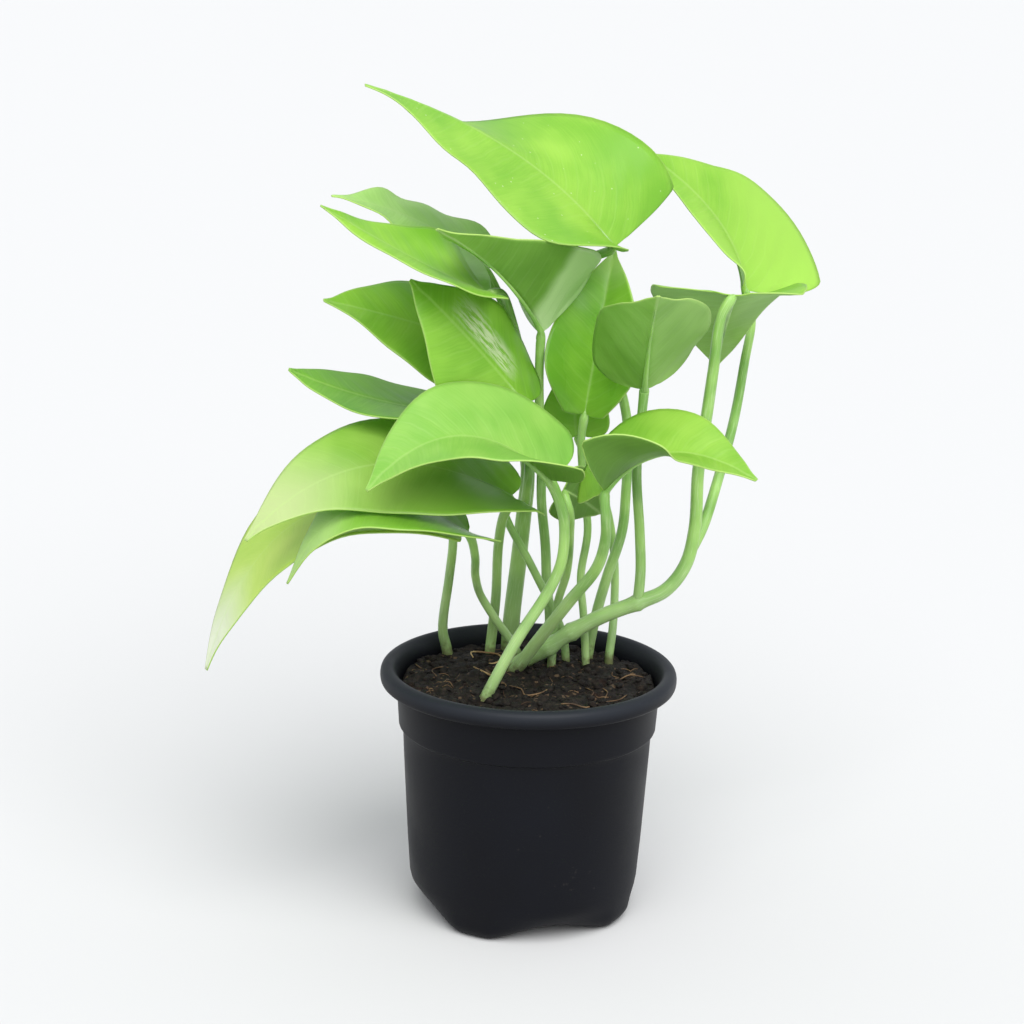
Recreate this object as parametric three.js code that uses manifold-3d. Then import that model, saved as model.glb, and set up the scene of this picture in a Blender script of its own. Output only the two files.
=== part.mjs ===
// Potted pothos: a lime-leaved pothos standing in a black nursery pot filled with soil.
// Millimetres, +Z up. The origin is on the floor under the middle of the plant's spread as seen
// from above. All places below are measured from the middle of the pot.
// The front of the plant, the side with the low front leaf, faces -Y.
import * as THREE from "three";
import { mergeVertices } from "three/addons/utils/BufferGeometryUtils.js";
import Module from "manifold-3d";

const wasm = await Module();
wasm.setup();

// ---- driving dimensions ----------------------------------------------------------------

const SPREAD_CENTRE = [-4.297, 11.991]; // middle of the spread, measured from the middle of the pot

const POT_RIM_RADIUS = 55; // outside of the rolled rim, a 110 mm nursery pot
const POT_HEIGHT = 94;
const POT_WALL = 1.2;
const POT_BASE_RADIUS = 42; // outside, just above the foot
const POT_STEP_RADIUS = 46.4; // outside, under the step
const POT_BAND_RADIUS = 47.7; // outside, over the step
const POT_NECK_RADIUS = 48.8; // outside, under the rim
const STEP_HEIGHT = 70.5;
const NECK_HEIGHT = 87;
const FOOT_INSIDE = 33;
const FOOT_OUTSIDE = 37;
const FLOOR_UNDERSIDE = 6.4;
const FLOOR_TOP = 7.8;
const ARCH_HEIGHT = 4.2; // the four scallops between the feet
const ARCH_INSET = 8;
const ARCH_AZIMUTH = 18; // degrees from the front to the middle of the first scallop
const POT_SEGMENTS = 48;
const DRAIN_RADIUS = 4;
const DRAIN_CIRCLE = 26;

const SOIL_EDGE_HEIGHT = 88;
const SOIL_HEAP = 2.2; // how much higher the middle stands
const SOIL_BUMP = 0.5;
const SOIL_CLEARANCE = 0.7; // between the soil and the pot
const SOIL_SECTORS = 26;

const BLADE_THICKNESS = 0.7;
const BLADE_COLUMNS = 3; // on each side of the midrib
const TAPER_END = 0.55; // part of the length over which the taper grows to its full value
const BLUNT_PLACE = 0.68; // part of the length where a blunt blade is widened most
const BLUNT_SPREAD = 0.11;
const PINCH_REACH = 0.12; // part of the length over which a pinch wears off
const STEM_SIDES = 7;
const STEM_STEPS = 3; // along each stretch between two path points
const STEM_HOLE_GAP = 0.35; // between a stem and the hole it stands in
const BLADE_GAP = 2.1; // from the end of a petiole to the base point of its blade, unless given

const LEAF_GREEN = 0x93d645;
const YOUNG_GREEN = 0xb6dc57;
const SHADE_GREEN = 0x6fae38;
const STEM_GREEN = 0x9ec77c;
const POT_BLACK = 0x1f2124;
const SOIL_BROWN = 0x2a211b;

// ---- the outline of a blade ------------------------------------------------------------

// One row across the flat blade: where it leaves the midrib and where it meets the edge,
// both as parts of the length from base to tip, and its half width as part of the width.
const BLADE_ROWS = [
  { mid: 0, edge: -0.07, half: 0.13 },
  { mid: 0.01, edge: -0.105, half: 0.27 },
  { mid: 0.04, edge: -0.06, half: 0.39 },
  { mid: 0.09, edge: 0.05, half: 0.47 },
  { mid: 0.16, edge: 0.18, half: 0.5 },
  { mid: 0.27, edge: 0.33, half: 0.49 },
  { mid: 0.39, edge: 0.48, half: 0.43 },
  { mid: 0.52, edge: 0.62, half: 0.335 },
  { mid: 0.66, edge: 0.76, half: 0.215 },
  { mid: 0.81, edge: 0.88, half: 0.11 },
  { mid: 0.92, edge: 0.95, half: 0.045 },
  { mid: 1, edge: 1, half: 0.012 },
];

// ---- the leaves ------------------------------------------------------------------------

// base, middle and tip are points of the midrib. faceBase and faceTip point out of the
// upper side. right and left fold that half up from the face, in degrees, at the base, at
// one and two thirds, and at the tip. curl bends each half further on its way to the edge.
// lobe scales how far the two basal lobes reach back. taper narrows the blade from its base
// on, a negative one widens it, and wideRight and wideLeft scale the two halves. blunt widens
// it at two thirds of its length, before a sudden thin tail. pinch narrows a half at its foot.
const LEAVES = [
  {
    name: "leaf_top",
    base: [26.5, 16, 248], middle: [-12, 8, 283], tip: [-62.5, -6, 305.5],
    faceBase: [0.1, -0.75, 0.65], faceTip: [0.1, -0.5, 0.85],
    width: 76, taper: 0.12, blunt: 0.5, wideRight: 1.08,
    right: [0, -10, -45, -40], left: [72, 18, 8, 25], lobe: 0.1, pinchLeft: 0.55,
  },
  {
    name: "leaf_right_back",
    base: [78.5, 60, 226.5], middle: [66, 60, 254], tip: [37.5, 48, 279],
    faceBase: [0.55, -0.68, 0.45], faceTip: [0.55, -0.65, 0.5],
    width: 74, taper: 0.36, wideRight: 1.22,
    right: [8, 0, 0, 0], left: [45, 40, 18, 5], curlRight: -10, lobe: 0.5,
  },
  {
    name: "leaf_right_hanging",
    base: [70, 12, 232.5], middle: [70.5, 42, 217.5], tip: [69, 68, 195.5],
    faceBase: [0.05, 0.45, 0.9], faceTip: [0, 0.7, 0.7],
    width: 60, wideRight: 0.94, right: [5, 30, 36, 20], left: [5, 12, 10, 0],
    curlRight: -5, curlLeft: -5, lobe: 0.5,
  },
  {
    name: "leaf_centre_cup",
    base: [38.5, -6, 201], middle: [39, -26, 223], tip: [40, -50, 241.5],
    faceBase: [0, 0.6, 0.7], faceTip: [0.05, 0.5, 0.8],
    width: 56, taper: 0.1, wideRight: 0.92, wideLeft: 1.12,
    right: [36, 42, 34, 20], left: [45, 36, 38, 40], curlLeft: 10, lobe: 0.7,
  },
  {
    name: "leaf_centre_fold",
    base: [1, 9, 217.5], middle: [-14, -16, 242], tip: [-35, -46, 261.5],
    faceBase: [-0.4, 0.6, 0.6], faceTip: [-0.4, 0.5, 0.8],
    width: 74, taper: 0.4, wideRight: 0.95,
    right: [75, 75, 60, 35], left: [30, 5, -2, -20], curlRight: 40, lobe: 0.4,
  },
  {
    name: "leaf_left_upper",
    base: [-18, -14, 235], middle: [-42, -26, 247.5], tip: [-75, -36, 267],
    faceBase: [0, -0.2, 0.98], faceTip: [0, -0.2, 0.98],
    width: 52, wideLeft: 0.6, right: [10, 15, 10, 5], left: [20, 12, 0, -10],
    curlRight: 10, curlLeft: -30, lobe: 0,
  },
  {
    name: "leaf_left_back",
    base: [-20, 26, 238], middle: [-44.5, 20, 255], tip: [-75, 8, 265],
    faceBase: [0.1, -0.3, 0.9], faceTip: [0.1, -0.3, 0.9],
    width: 42, right: [5, 5, 5, 0], left: [10, 5, 0, 0], curlRight: -10, curlLeft: -10,
  },
  {
    name: "leaf_left_mid",
    base: [-22, 16, 211], middle: [-48, 6, 221], tip: [-76.5, -6, 229.5],
    faceBase: [0, -0.5, 0.87], faceTip: [0, -0.5, 0.87],
    width: 54, right: [5, 5, 5, 0], left: [-4, -4, 2, 5], curlRight: -10, curlLeft: -10,
  },
  {
    name: "leaf_centre_left",
    base: [-4.5, -8, 195], middle: [-24.5, -18, 219.5], tip: [-45, -24, 240.5],
    faceBase: [-0.1, -0.7, 0.7], faceTip: [0.1, -0.7, 0.7],
    width: 50, right: [-30, -18, -5, -5], left: [-5, -5, 0, 0], curlLeft: -15,
  },
  {
    name: "leaf_left_shade",
    base: [-25.5, 18, 184], middle: [-60, 8, 191.5], tip: [-89.5, 0, 203],
    faceBase: [0, -0.59, 0.81], faceTip: [0, -0.59, 0.81],
    width: 54, right: [-30, -30, -24, -10], left: [45, 40, 25, 30], color: SHADE_GREEN,
  },
  {
    name: "leaf_front",
    base: [5, -36, 174.5], middle: [-27, -46, 190.5], tip: [-56.5, -62, 174.5],
    faceBase: [0, -0.41, 0.91], faceTip: [-0.1, -0.41, 0.9],
    width: 55, right: [8, 14, 16, 10], left: [60, 24, 12, 8], lobe: 0.5,
  },
  {
    name: "leaf_left_large",
    base: [-8, -8, 160.5], middle: [-58, -28, 175], tip: [-99, -50, 152.5],
    faceBase: [0, -0.3, 0.95], faceTip: [-0.2, -0.4, 0.9],
    width: 64, right: [0, 3, 3, 0], left: [25, -4, -8, 0], lobe: 0.5,
  },
  {
    name: "leaf_left_low",
    base: [-29.5, 0, 148.5], middle: [-84, -11, 150], tip: [-116.5, -24, 96.5],
    faceBase: [0, -0.2, 0.97], faceTip: [-0.6, -0.3, 0.7],
    width: 60, taper: -0.35,
    right: [0, 0, -4, 0], left: [12, 8, 5, 5], lobe: 0.1, color: YOUNG_GREEN,
  },
  {
    name: "leaf_left_narrow",
    base: [-22.5, -20, 149], middle: [-59.5, -40, 163.5], tip: [-85, -45, 136],
    faceBase: [0, -0.15, 0.98], faceTip: [-0.6, -0.3, 0.7],
    width: 44, right: [15, 10, 3, 0], left: [15, -5, 0, 0], lobe: 0.2,
  },
  {
    name: "leaf_front_right",
    base: [24.5, -46, 172.5], middle: [47, -36, 184.5], tip: [76.5, -46, 178],
    faceBase: [0, -0.3, 0.95], faceTip: [0.1, -0.4, 0.9],
    width: 56, taper: -0.1, wideRight: 1.08, wideLeft: 0.88,
    right: [97, 42, 26, 10], left: [-45, -4, 18, 8], lobe: 0.2,
  },
  {
    name: "leaf_centre_back",
    base: [18, 16.5, 186.5], middle: [22.5, 23, 216.5], tip: [27.5, 38, 244],
    faceBase: [0, -0.85, 0.5], faceTip: [0, -0.8, 0.6],
    width: 44, right: [50, 40, 35, 20], left: [45, 35, 25, 15], lobe: 0.1,
    pinchRight: 0.6, pinchLeft: 0.6,
  },
  {
    name: "leaf_small_under",
    base: [10.5, -23, 167], middle: [17.5, -13, 161], tip: [24.5, -5, 154],
    faceBase: [-0.7, 0.66, 0.24], faceTip: [-0.7, 0.66, 0.24],
    width: 21, right: [5, 5, 0, 0], left: [5, 5, 0, 0], lobe: 0.3, color: SHADE_GREEN,
  },
  {
    name: "leaf_small_back",
    base: [15.5, 32, 174.5], middle: [14.5, 32, 188], tip: [15, 32, 207],
    faceBase: [0, -0.9, 0.4], faceTip: [0, -0.8, 0.6],
    width: 26, right: [20, 10, 0, 0], left: [20, 10, 0, 0], lobe: 0.5,
  },
];

// ---- the vines and petioles ------------------------------------------------------------

// Each stem is one body of one or more runs. A run follows its path from the foot to the
// top and tapers between the two radii. A run that carries a blade names it.
const STEMS = [
  {
    name: "petiole_left_low",
    runs: [
      {
        blade: "leaf_left_low", radii: [2.2, 1.5], gap: 1.1,
        path: [[-29, 26, 74], [-31.5, 28, 90], [-33, 24, 99], [-30.5, 12, 123.5], [-29, 1, 141]],
      },
    ],
  },
  {
    name: "petiole_left_narrow",
    runs: [
      {
        blade: "leaf_left_narrow", radii: [1.7, 1.5], gap: 1.6,
        path: [
          [-3, 23, 74], [-4, 22, 90], [-7, 20.5, 96.5], [-13, 16, 106.5], [-18.5, 11, 117],
          [-20.5, -1, 128], [-20.5, -13, 139],
        ],
      },
    ],
  },
  {
    name: "petiole_left_large",
    runs: [
      {
        blade: "leaf_left_large", radii: [2.1, 1.7],
        path: [
          [-16, 28, 74], [-15, 28.5, 90], [-14, 27, 101.5], [-13, 20, 116], [-12.5, 8, 137],
          [-11, -1, 150],
        ],
      },
    ],
  },
  {
    name: "petiole_left_shade",
    runs: [
      {
        blade: "leaf_left_shade", radii: [1.6, 1.4],
        path: [
          [14, 20, 74], [14, 20, 90], [12.5, 20, 100], [8, 17, 112], [3.5, 14, 121.5], [-2, 12, 132.5],
          [-9, 14, 144.5], [-14, 20, 156], [-18, 25, 168], [-21.5, 23.5, 177],
        ],
      },
    ],
  },
  {
    name: "vine_back",
    runs: [
      {
        radii: [3.7, 2.6],
        path: [
          [-8, 36, 70], [-7.5, 35.5, 90], [-7, 32, 103], [-5, 29, 125.5], [-3.5, 26, 144.5],
          [-2.5, 23, 157], [-2.5, 21, 171],
        ],
      },
      {
        blade: "leaf_centre_left", radii: [2, 1.4],
        path: [[-3.5, 26, 144.5], [-2, 14, 165], [-2.5, 1, 183]],
      },
      {
        blade: "leaf_left_mid", radii: [1.9, 1.4],
        path: [[-2.5, 23, 157], [-5.5, 22, 178], [-13.5, 19, 199.5]],
      },
      {
        blade: "leaf_left_back", radii: [2.2, 1.4],
        path: [[-2.5, 21, 170], [-4, 24, 189], [-9.5, 27, 215]],
      },
      {
        blade: "leaf_left_upper", radii: [1.8, 1.4],
        path: [[-2.5, 23, 157], [-2, 20, 180], [-5.5, 17, 204.5], [-10.5, 10, 225], [-13.5, 0, 233]],
      },
    ],
  },
  {
    name: "petiole_centre_fold",
    runs: [
      {
        blade: "leaf_centre_fold", radii: [2.1, 1.6],
        path: [
          [8, 26, 74], [7.5, 25, 90], [7.5, 24, 105.5], [6, 24, 118], [5, 22, 134],
          [3, 18, 152.5], [2.5, 15, 172.5], [1.2, 13.8, 190], [0.8, 12.2, 203],
        ],
      },
    ],
  },
  {
    name: "petiole_front",
    runs: [
      {
        blade: "leaf_front", radii: [2.2, 1.8],
        path: [
          [-20, -24.5, 78], [-15, -25, 90], [-4, -27, 113], [6, -28, 130.5], [10.5, -30, 142.5],
          [11, -32, 157.5], [8.5, -34, 167],
        ],
      },
    ],
  },
  {
    name: "petiole_small_under",
    runs: [
      {
        blade: "leaf_small_under", radii: [1.7, 1.4],
        path: [
          [8.5, 14, 74], [8.5, 13.5, 90], [9, 14.5, 101], [10, 10, 115], [13, 0, 130],
          [13.5, -17, 149], [13, -26, 160],
        ],
      },
    ],
  },
  {
    name: "vine_right",
    nodes: [2, 3, 5],
    runs: [
      {
        blade: "leaf_right_hanging", radii: [3.3, 1.9],
        path: [
          [-14, 18, 78], [-4, 13, 90], [7.5, 8, 99], [15.5, 6, 105.5], [27.5, 4, 113],
          [39.5, 3, 118.5], [49.5, 3, 123.5], [56.5, 4, 133], [59.5, 6, 146], [60, 8, 168],
          [62.5, 10, 190.5], [64, 11, 205], [66, 10.5, 225],
        ],
      },
      {
        blade: "leaf_right_back", radii: [2.2, 1.6],
        path: [
          [58, 5, 137.5], [63, 12, 146], [68.5, 24, 160.5], [75, 42, 180], [79.5, 60, 199],
          [82, 67, 214.5],
        ],
      },
      {
        blade: "leaf_centre_cup", radii: [2.1, 1.7], gap: 0.8,
        path: [[39.5, 3, 118.5], [40, 1, 131.5], [39, -1, 147], [37, -3, 170], [38, -5, 192]],
      },
      {
        blade: "leaf_front_right", radii: [2.7, 1.6], gap: 1.3,
        path: [
          [-12, 13, 80], [-5, 6, 90], [4.5, -6, 107.5], [15, -20, 126.5], [23, -30, 140.5],
          [25.5, -39, 153.5], [25, -46.5, 165],
        ],
      },
    ],
  },
  {
    name: "petiole_centre_back",
    runs: [
      {
        blade: "leaf_centre_back", radii: [1.5, 1.5],
        path: [
          [22, 16, 74], [21.5, 15.5, 90], [20, 15, 109.5], [18.5, 16, 124], [20.5, 16, 142],
          [18.5, 17, 158], [17, 17, 177],
        ],
      },
    ],
  },
  {
    name: "petiole_top",
    runs: [
      {
        blade: "leaf_top", radii: [2.1, 1.6], gap: 1,
        path: [
          [22.5, 27, 74], [22.5, 26.5, 90], [25, 24, 107], [28.5, 22, 122.5], [33.5, 22, 140.5],
          [34.5, 24, 155], [34.5, 28, 178.5], [30, 36, 196], [19, 37, 216], [12, 30.5, 231],
          [15.5, 22.5, 241.5],
        ],
      },
    ],
  },
  {
    name: "petiole_small_back",
    runs: [
      {
        blade: "leaf_small_back", radii: [1.7, 1.4], gap: 1.1,
        path: [
          [30.5, 24, 74], [30.5, 24, 90], [31.5, 26, 100.5], [32, 31, 111], [31.5, 34, 126],
          [28, 36, 145.5], [21, 35, 162],
        ],
      },
    ],
  },
];

// ---- helpers ---------------------------------------------------------------------------

const vector = (list) => new THREE.Vector3(...list);
const radians = THREE.MathUtils.degToRad;

// A closed geometry from points and index triples.
function solid(points, faces) {
  const geometry = new THREE.BufferGeometry();
  const positions = points.flatMap((p) => [p.x, p.y, p.z]);
  geometry.setAttribute("position", new THREE.Float32BufferAttribute(positions, 3));
  geometry.setIndex(faces.flat());
  return geometry;
}

function toManifold(geometry) {
  const merged = mergeVertices(geometry, 1e-4);
  return new wasm.Manifold(
    new wasm.Mesh({
      numProp: 3,
      vertProperties: new Float32Array(merged.getAttribute("position").array),
      triVerts: new Uint32Array(merged.getIndex().array),
    }),
  );
}

function fromManifold(body) {
  const mesh = body.getMesh();
  const geometry = new THREE.BufferGeometry();
  const positions = new Float32Array(mesh.vertProperties);
  geometry.setAttribute("position", new THREE.BufferAttribute(positions, 3));
  geometry.setIndex(Array.from(mesh.triVerts));
  return mergeVertices(geometry, 1e-4);
}

function named(name, geometry, color, roughness) {
  geometry.computeVertexNormals();
  const material = new THREE.MeshStandardMaterial({ color, roughness, metalness: 0 });
  const mesh = new THREE.Mesh(geometry, material);
  mesh.name = name;
  return mesh;
}

// A value that passes through four control values at 0, 1/3, 2/3 and 1.
function through(values, s) {
  const a = ((1 - 3 * s) * (2 - 3 * s) * (1 - s)) / 2;
  const b = (9 * s * (2 - 3 * s) * (1 - s)) / 2;
  const c = (9 * s * (3 * s - 1) * (1 - s)) / 2;
  const d = (s * (3 * s - 1) * (3 * s - 2)) / 2;
  return values[0] * a + values[1] * b + values[2] * c + values[3] * d;
}

// ---- blades ----------------------------------------------------------------------------

// The midrib as a parabola through its three points, carried straight on before the base.
function midrib(leaf) {
  const base = vector(leaf.base);
  const middle = vector(leaf.middle);
  const tip = vector(leaf.tip);
  const slope = middle.clone().multiplyScalar(4).addScaledVector(base, -3).sub(tip);
  const bend = base.clone().add(tip).multiplyScalar(2).addScaledVector(middle, -4);
  return {
    at: (s) =>
      base
        .clone()
        .addScaledVector(slope, s)
        .addScaledVector(bend, s < 0 ? 0 : s * s),
    direction: (s) =>
      slope
        .clone()
        .addScaledVector(bend, 2 * Math.max(s, 0))
        .normalize(),
  };
}

// A point of the blade: s along the midrib, across as a distance in mm, right positive.
function bladePoint(leaf, rib, s, across) {
  const along = THREE.MathUtils.clamp(s, 0, 1);
  const tangent = rib.direction(s);
  const up = vector(leaf.faceBase)
    .normalize()
    .lerp(vector(leaf.faceTip).normalize(), along);
  up.addScaledVector(tangent, -up.dot(tangent)).normalize();
  const right = new THREE.Vector3().crossVectors(tangent, up);
  const onRight = across > 0;
  const fold = radians(through(onRight ? leaf.right : leaf.left, along));
  const curl = radians((onRight ? leaf.curlRight : leaf.curlLeft) ?? 0) / (leaf.width / 2);
  const reach = Math.abs(across);
  let out = reach * Math.cos(fold);
  let rise = reach * Math.sin(fold);
  if (curl !== 0) {
    out = (Math.sin(fold + curl * reach) - Math.sin(fold)) / curl;
    rise = (Math.cos(fold) - Math.cos(fold + curl * reach)) / curl;
  }
  return rib
    .at(s)
    .addScaledVector(right, onRight ? out : -out)
    .addScaledVector(up, rise);
}

// The blade as a thin closed shell, with the same triangles on its two faces.
function blade(leaf) {
  const rib = midrib(leaf);
  const lobe = leaf.lobe ?? 1;
  const columns = 2 * BLADE_COLUMNS + 1;
  const grid = BLADE_ROWS.map((row) => {
    const edge = row.edge < 0 ? row.edge * lobe : row.edge;
    const taper = 1 - (leaf.taper ?? 0) * Math.min(1, row.mid / TAPER_END);
    const blunt = 1 + (leaf.blunt ?? 0) * Math.exp(-(((row.mid - BLUNT_PLACE) / BLUNT_SPREAD) ** 2));
    const half = row.half * leaf.width * taper * blunt;
    const atFoot = Math.exp(-((row.mid / PINCH_REACH) ** 2));
    const line = [];
    for (let j = -BLADE_COLUMNS; j <= BLADE_COLUMNS; j++) {
      const part = Math.abs(j) / BLADE_COLUMNS;
      const s = row.mid + (edge - row.mid) * part;
      const wide = (j > 0 ? leaf.wideRight : leaf.wideLeft) ?? 1;
      const pinch = ((j > 0 ? leaf.pinchRight : leaf.pinchLeft) ?? 0) * atFoot;
      line.push(bladePoint(leaf, rib, s, Math.sign(j) * part * half * wide * (1 - pinch)));
    }
    return line;
  });
  const rows = grid.length;
  const flat = grid.flat();
  const at = (i, j) => i * columns + j;
  const upper = [];
  for (let i = 0; i < rows - 1; i++) {
    for (let j = 0; j < columns - 1; j++) {
      const a = at(i, j);
      const b = at(i, j + 1);
      const c = at(i + 1, j + 1);
      const d = at(i + 1, j);
      if (j < BLADE_COLUMNS) upper.push([a, b, c], [a, c, d]);
      else upper.push([a, b, d], [b, c, d]);
    }
  }
  const normals = flat.map(() => new THREE.Vector3());
  for (const [a, b, c] of upper) {
    const face = new THREE.Vector3()
      .subVectors(flat[b], flat[a])
      .cross(new THREE.Vector3().subVectors(flat[c], flat[a]));
    for (const k of [a, b, c]) normals[k].add(face);
  }
  const half = BLADE_THICKNESS / 2;
  const top = flat.map((p, k) => p.clone().addScaledVector(normals[k].normalize(), half));
  const under = flat.map((p, k) => p.clone().addScaledVector(normals[k], -half));
  const count = flat.length;
  const faces = [...upper, ...upper.map(([a, b, c]) => [a + count, c + count, b + count])];
  const rim = [];
  for (let j = 0; j < columns; j++) rim.push(at(0, j));
  for (let i = 1; i < rows; i++) rim.push(at(i, columns - 1));
  for (let j = columns - 2; j >= 0; j--) rim.push(at(rows - 1, j));
  for (let i = rows - 2; i > 0; i--) rim.push(at(i, 0));
  rim.forEach((a, k) => {
    const b = rim[(k + 1) % rim.length];
    faces.push([a, a + count, b + count], [a, b + count, b]);
  });
  return solid([...top, ...under], faces);
}

// ---- stems -----------------------------------------------------------------------------

// Points along a smooth path, with the radius at each one.
function walk(run, nodes) {
  const points = run.path.map(vector);
  if (run.blade) {
    const base = vector(LEAVES.find((leaf) => leaf.name === run.blade).base);
    const last = points[points.length - 1];
    const back = new THREE.Vector3().subVectors(last, base).normalize();
    points.push(base.addScaledVector(back, run.gap ?? BLADE_GAP));
  }
  const curve = new THREE.CatmullRomCurve3(points, false, "centripetal");
  const steps = (points.length - 1) * STEM_STEPS;
  const line = [];
  for (let i = 0; i <= steps; i++) {
    const t = i / steps;
    let radius = THREE.MathUtils.lerp(run.radii[0], run.radii[1], t);
    if (nodes) {
      // a vine is thicker at the nodes where leaves and roots spring
      const place = t * (points.length - 1);
      for (const node of nodes) radius *= 1 + 0.16 * Math.exp(-((place - node) ** 2) / 0.05);
    }
    line.push({ point: curve.getPoint(t), radius });
  }
  return line;
}

// A closed round tube along the line, grown by extra all round.
function tube(line, extra) {
  const count = line.length;
  const points = [];
  const faces = [];
  let side = new THREE.Vector3(1, 0, 0);
  line.forEach(({ point, radius }, i) => {
    const before = line[Math.max(i - 1, 0)].point;
    const after = line[Math.min(i + 1, count - 1)].point;
    const along = new THREE.Vector3().subVectors(after, before).normalize();
    side = side.clone().addScaledVector(along, -side.dot(along)).normalize();
    const other = new THREE.Vector3().crossVectors(along, side);
    const end = i === 0 ? -extra : i === count - 1 ? extra : 0;
    const centre = point.clone().addScaledVector(along, end);
    for (let k = 0; k < STEM_SIDES; k++) {
      const angle = (2 * Math.PI * k) / STEM_SIDES;
      points.push(
        centre
          .clone()
          .addScaledVector(side, (radius + extra) * Math.cos(angle))
          .addScaledVector(other, (radius + extra) * Math.sin(angle)),
      );
    }
  });
  for (let i = 0; i < count - 1; i++) {
    for (let k = 0; k < STEM_SIDES; k++) {
      const a = i * STEM_SIDES + k;
      const b = i * STEM_SIDES + ((k + 1) % STEM_SIDES);
      faces.push([a, b, b + STEM_SIDES], [a, b + STEM_SIDES, a + STEM_SIDES]);
    }
  }
  const last = (count - 1) * STEM_SIDES;
  for (let k = 1; k < STEM_SIDES - 1; k++) {
    faces.push([0, k + 1, k], [last, last + k, last + k + 1]);
  }
  return solid(points, faces);
}

function stemBody(stem, extra) {
  const bodies = stem.runs.map((run, i) =>
    toManifold(tube(walk(run, i === 0 ? stem.nodes : undefined), extra)),
  );
  return bodies.reduce((all, body) => all.add(body));
}

// ---- pot -------------------------------------------------------------------------------

// How far the scallops lift the foot at an azimuth, from 0 on a foot to 1 in a scallop.
function scallop(angle) {
  const front = radians(ARCH_AZIMUTH - 90);
  return Math.max(0, (Math.cos(4 * (angle - front)) + 0.8) / 1.8);
}

function pot() {
  // outer wall from the foot up, round the rim and down the inside: radius, height, lift, inset
  const profile = [
    [FOOT_INSIDE - 0.6, FLOOR_UNDERSIDE, 0, 1],
    [FOOT_INSIDE, 0, 1, 1],
    [FOOT_OUTSIDE, 0, 1, 1],
    [FOOT_OUTSIDE + 2.6, 1, 0.8, 0.85],
    [POT_BASE_RADIUS - 0.7, 3.4, 0.5, 0.6],
    [POT_BASE_RADIUS, 7.4, 0.2, 0.25],
    [POT_BASE_RADIUS + 0.9, 14, 0, 0],
    [POT_STEP_RADIUS, STEP_HEIGHT, 0, 0],
    [POT_BAND_RADIUS, STEP_HEIGHT + 1.1, 0, 0],
    [POT_NECK_RADIUS, NECK_HEIGHT, 0, 0],
    [POT_RIM_RADIUS - 1.6, NECK_HEIGHT + 0.5, 0, 0],
    [POT_RIM_RADIUS - 0.3, NECK_HEIGHT + 1.5, 0, 0],
    [POT_RIM_RADIUS, NECK_HEIGHT + 3.6, 0, 0],
    [POT_RIM_RADIUS - 0.5, POT_HEIGHT - 1.1, 0, 0],
    [POT_RIM_RADIUS - 1.8, POT_HEIGHT - 0.1, 0, 0],
    [POT_RIM_RADIUS - 3.6, POT_HEIGHT, 0, 0],
    [POT_RIM_RADIUS - 4.9, POT_HEIGHT - 0.8, 0, 0],
    [POT_NECK_RADIUS - 0.2, POT_HEIGHT - 3.6, 0, 0],
    [POT_NECK_RADIUS - POT_WALL, NECK_HEIGHT - 0.5, 0, 0],
    [POT_BAND_RADIUS - POT_WALL, STEP_HEIGHT + 1.7, 0, 0],
    [POT_STEP_RADIUS - POT_WALL, STEP_HEIGHT - 0.3, 0, 0],
    [POT_BASE_RADIUS + 0.9 - POT_WALL, 14, 0, 0],
    [POT_BASE_RADIUS - POT_WALL - 2.4, FLOOR_TOP, 0, 0.55],
  ];
  const points = [];
  const faces = [];
  const count = profile.length;
  for (let i = 0; i < POT_SEGMENTS; i++) {
    const angle = radians(ARCH_AZIMUTH - 90) + (2 * Math.PI * i) / POT_SEGMENTS;
    const high = scallop(angle);
    for (const [radius, height, lift, inset] of profile) {
      const r = radius - ARCH_INSET * inset * high;
      const z = height + ARCH_HEIGHT * lift * high;
      points.push(new THREE.Vector3(r * Math.cos(angle), r * Math.sin(angle), z));
    }
  }
  const underside = points.push(new THREE.Vector3(0, 0, FLOOR_UNDERSIDE)) - 1;
  const inside = points.push(new THREE.Vector3(0, 0, FLOOR_TOP)) - 1;
  for (let i = 0; i < POT_SEGMENTS; i++) {
    const here = i * count;
    const next = ((i + 1) % POT_SEGMENTS) * count;
    for (let k = 0; k < count - 1; k++) {
      faces.push([here + k, next + k, next + k + 1], [here + k, next + k + 1, here + k + 1]);
    }
    faces.push([underside, next, here]);
    faces.push([inside, here + count - 1, next + count - 1]);
  }
  let body = toManifold(solid(points, faces));
  for (let i = 0; i < 4; i++) {
    const angle = radians(ARCH_AZIMUTH - 90 + 45 + 90 * i);
    const height = 3 * (FLOOR_TOP - FLOOR_UNDERSIDE);
    const drill = wasm.Manifold.cylinder(height, DRAIN_RADIUS, DRAIN_RADIUS, 10, true).translate(
      DRAIN_CIRCLE * Math.cos(angle),
      DRAIN_CIRCLE * Math.sin(angle),
      (FLOOR_TOP + FLOOR_UNDERSIDE) / 2,
    );
    body = body.subtract(drill);
  }
  return fromManifold(body);
}

// ---- soil ------------------------------------------------------------------------------

function soilHeight(x, y) {
  const part = Math.hypot(x, y) / POT_BAND_RADIUS;
  const heap = SOIL_HEAP * (1 - part * part);
  const bumps =
    Math.sin(0.31 * x + 1.1) * Math.cos(0.27 * y - 0.4) + 0.6 * Math.sin(0.53 * x - 0.47 * y);
  return SOIL_EDGE_HEIGHT + heap + SOIL_BUMP * bumps;
}

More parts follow.
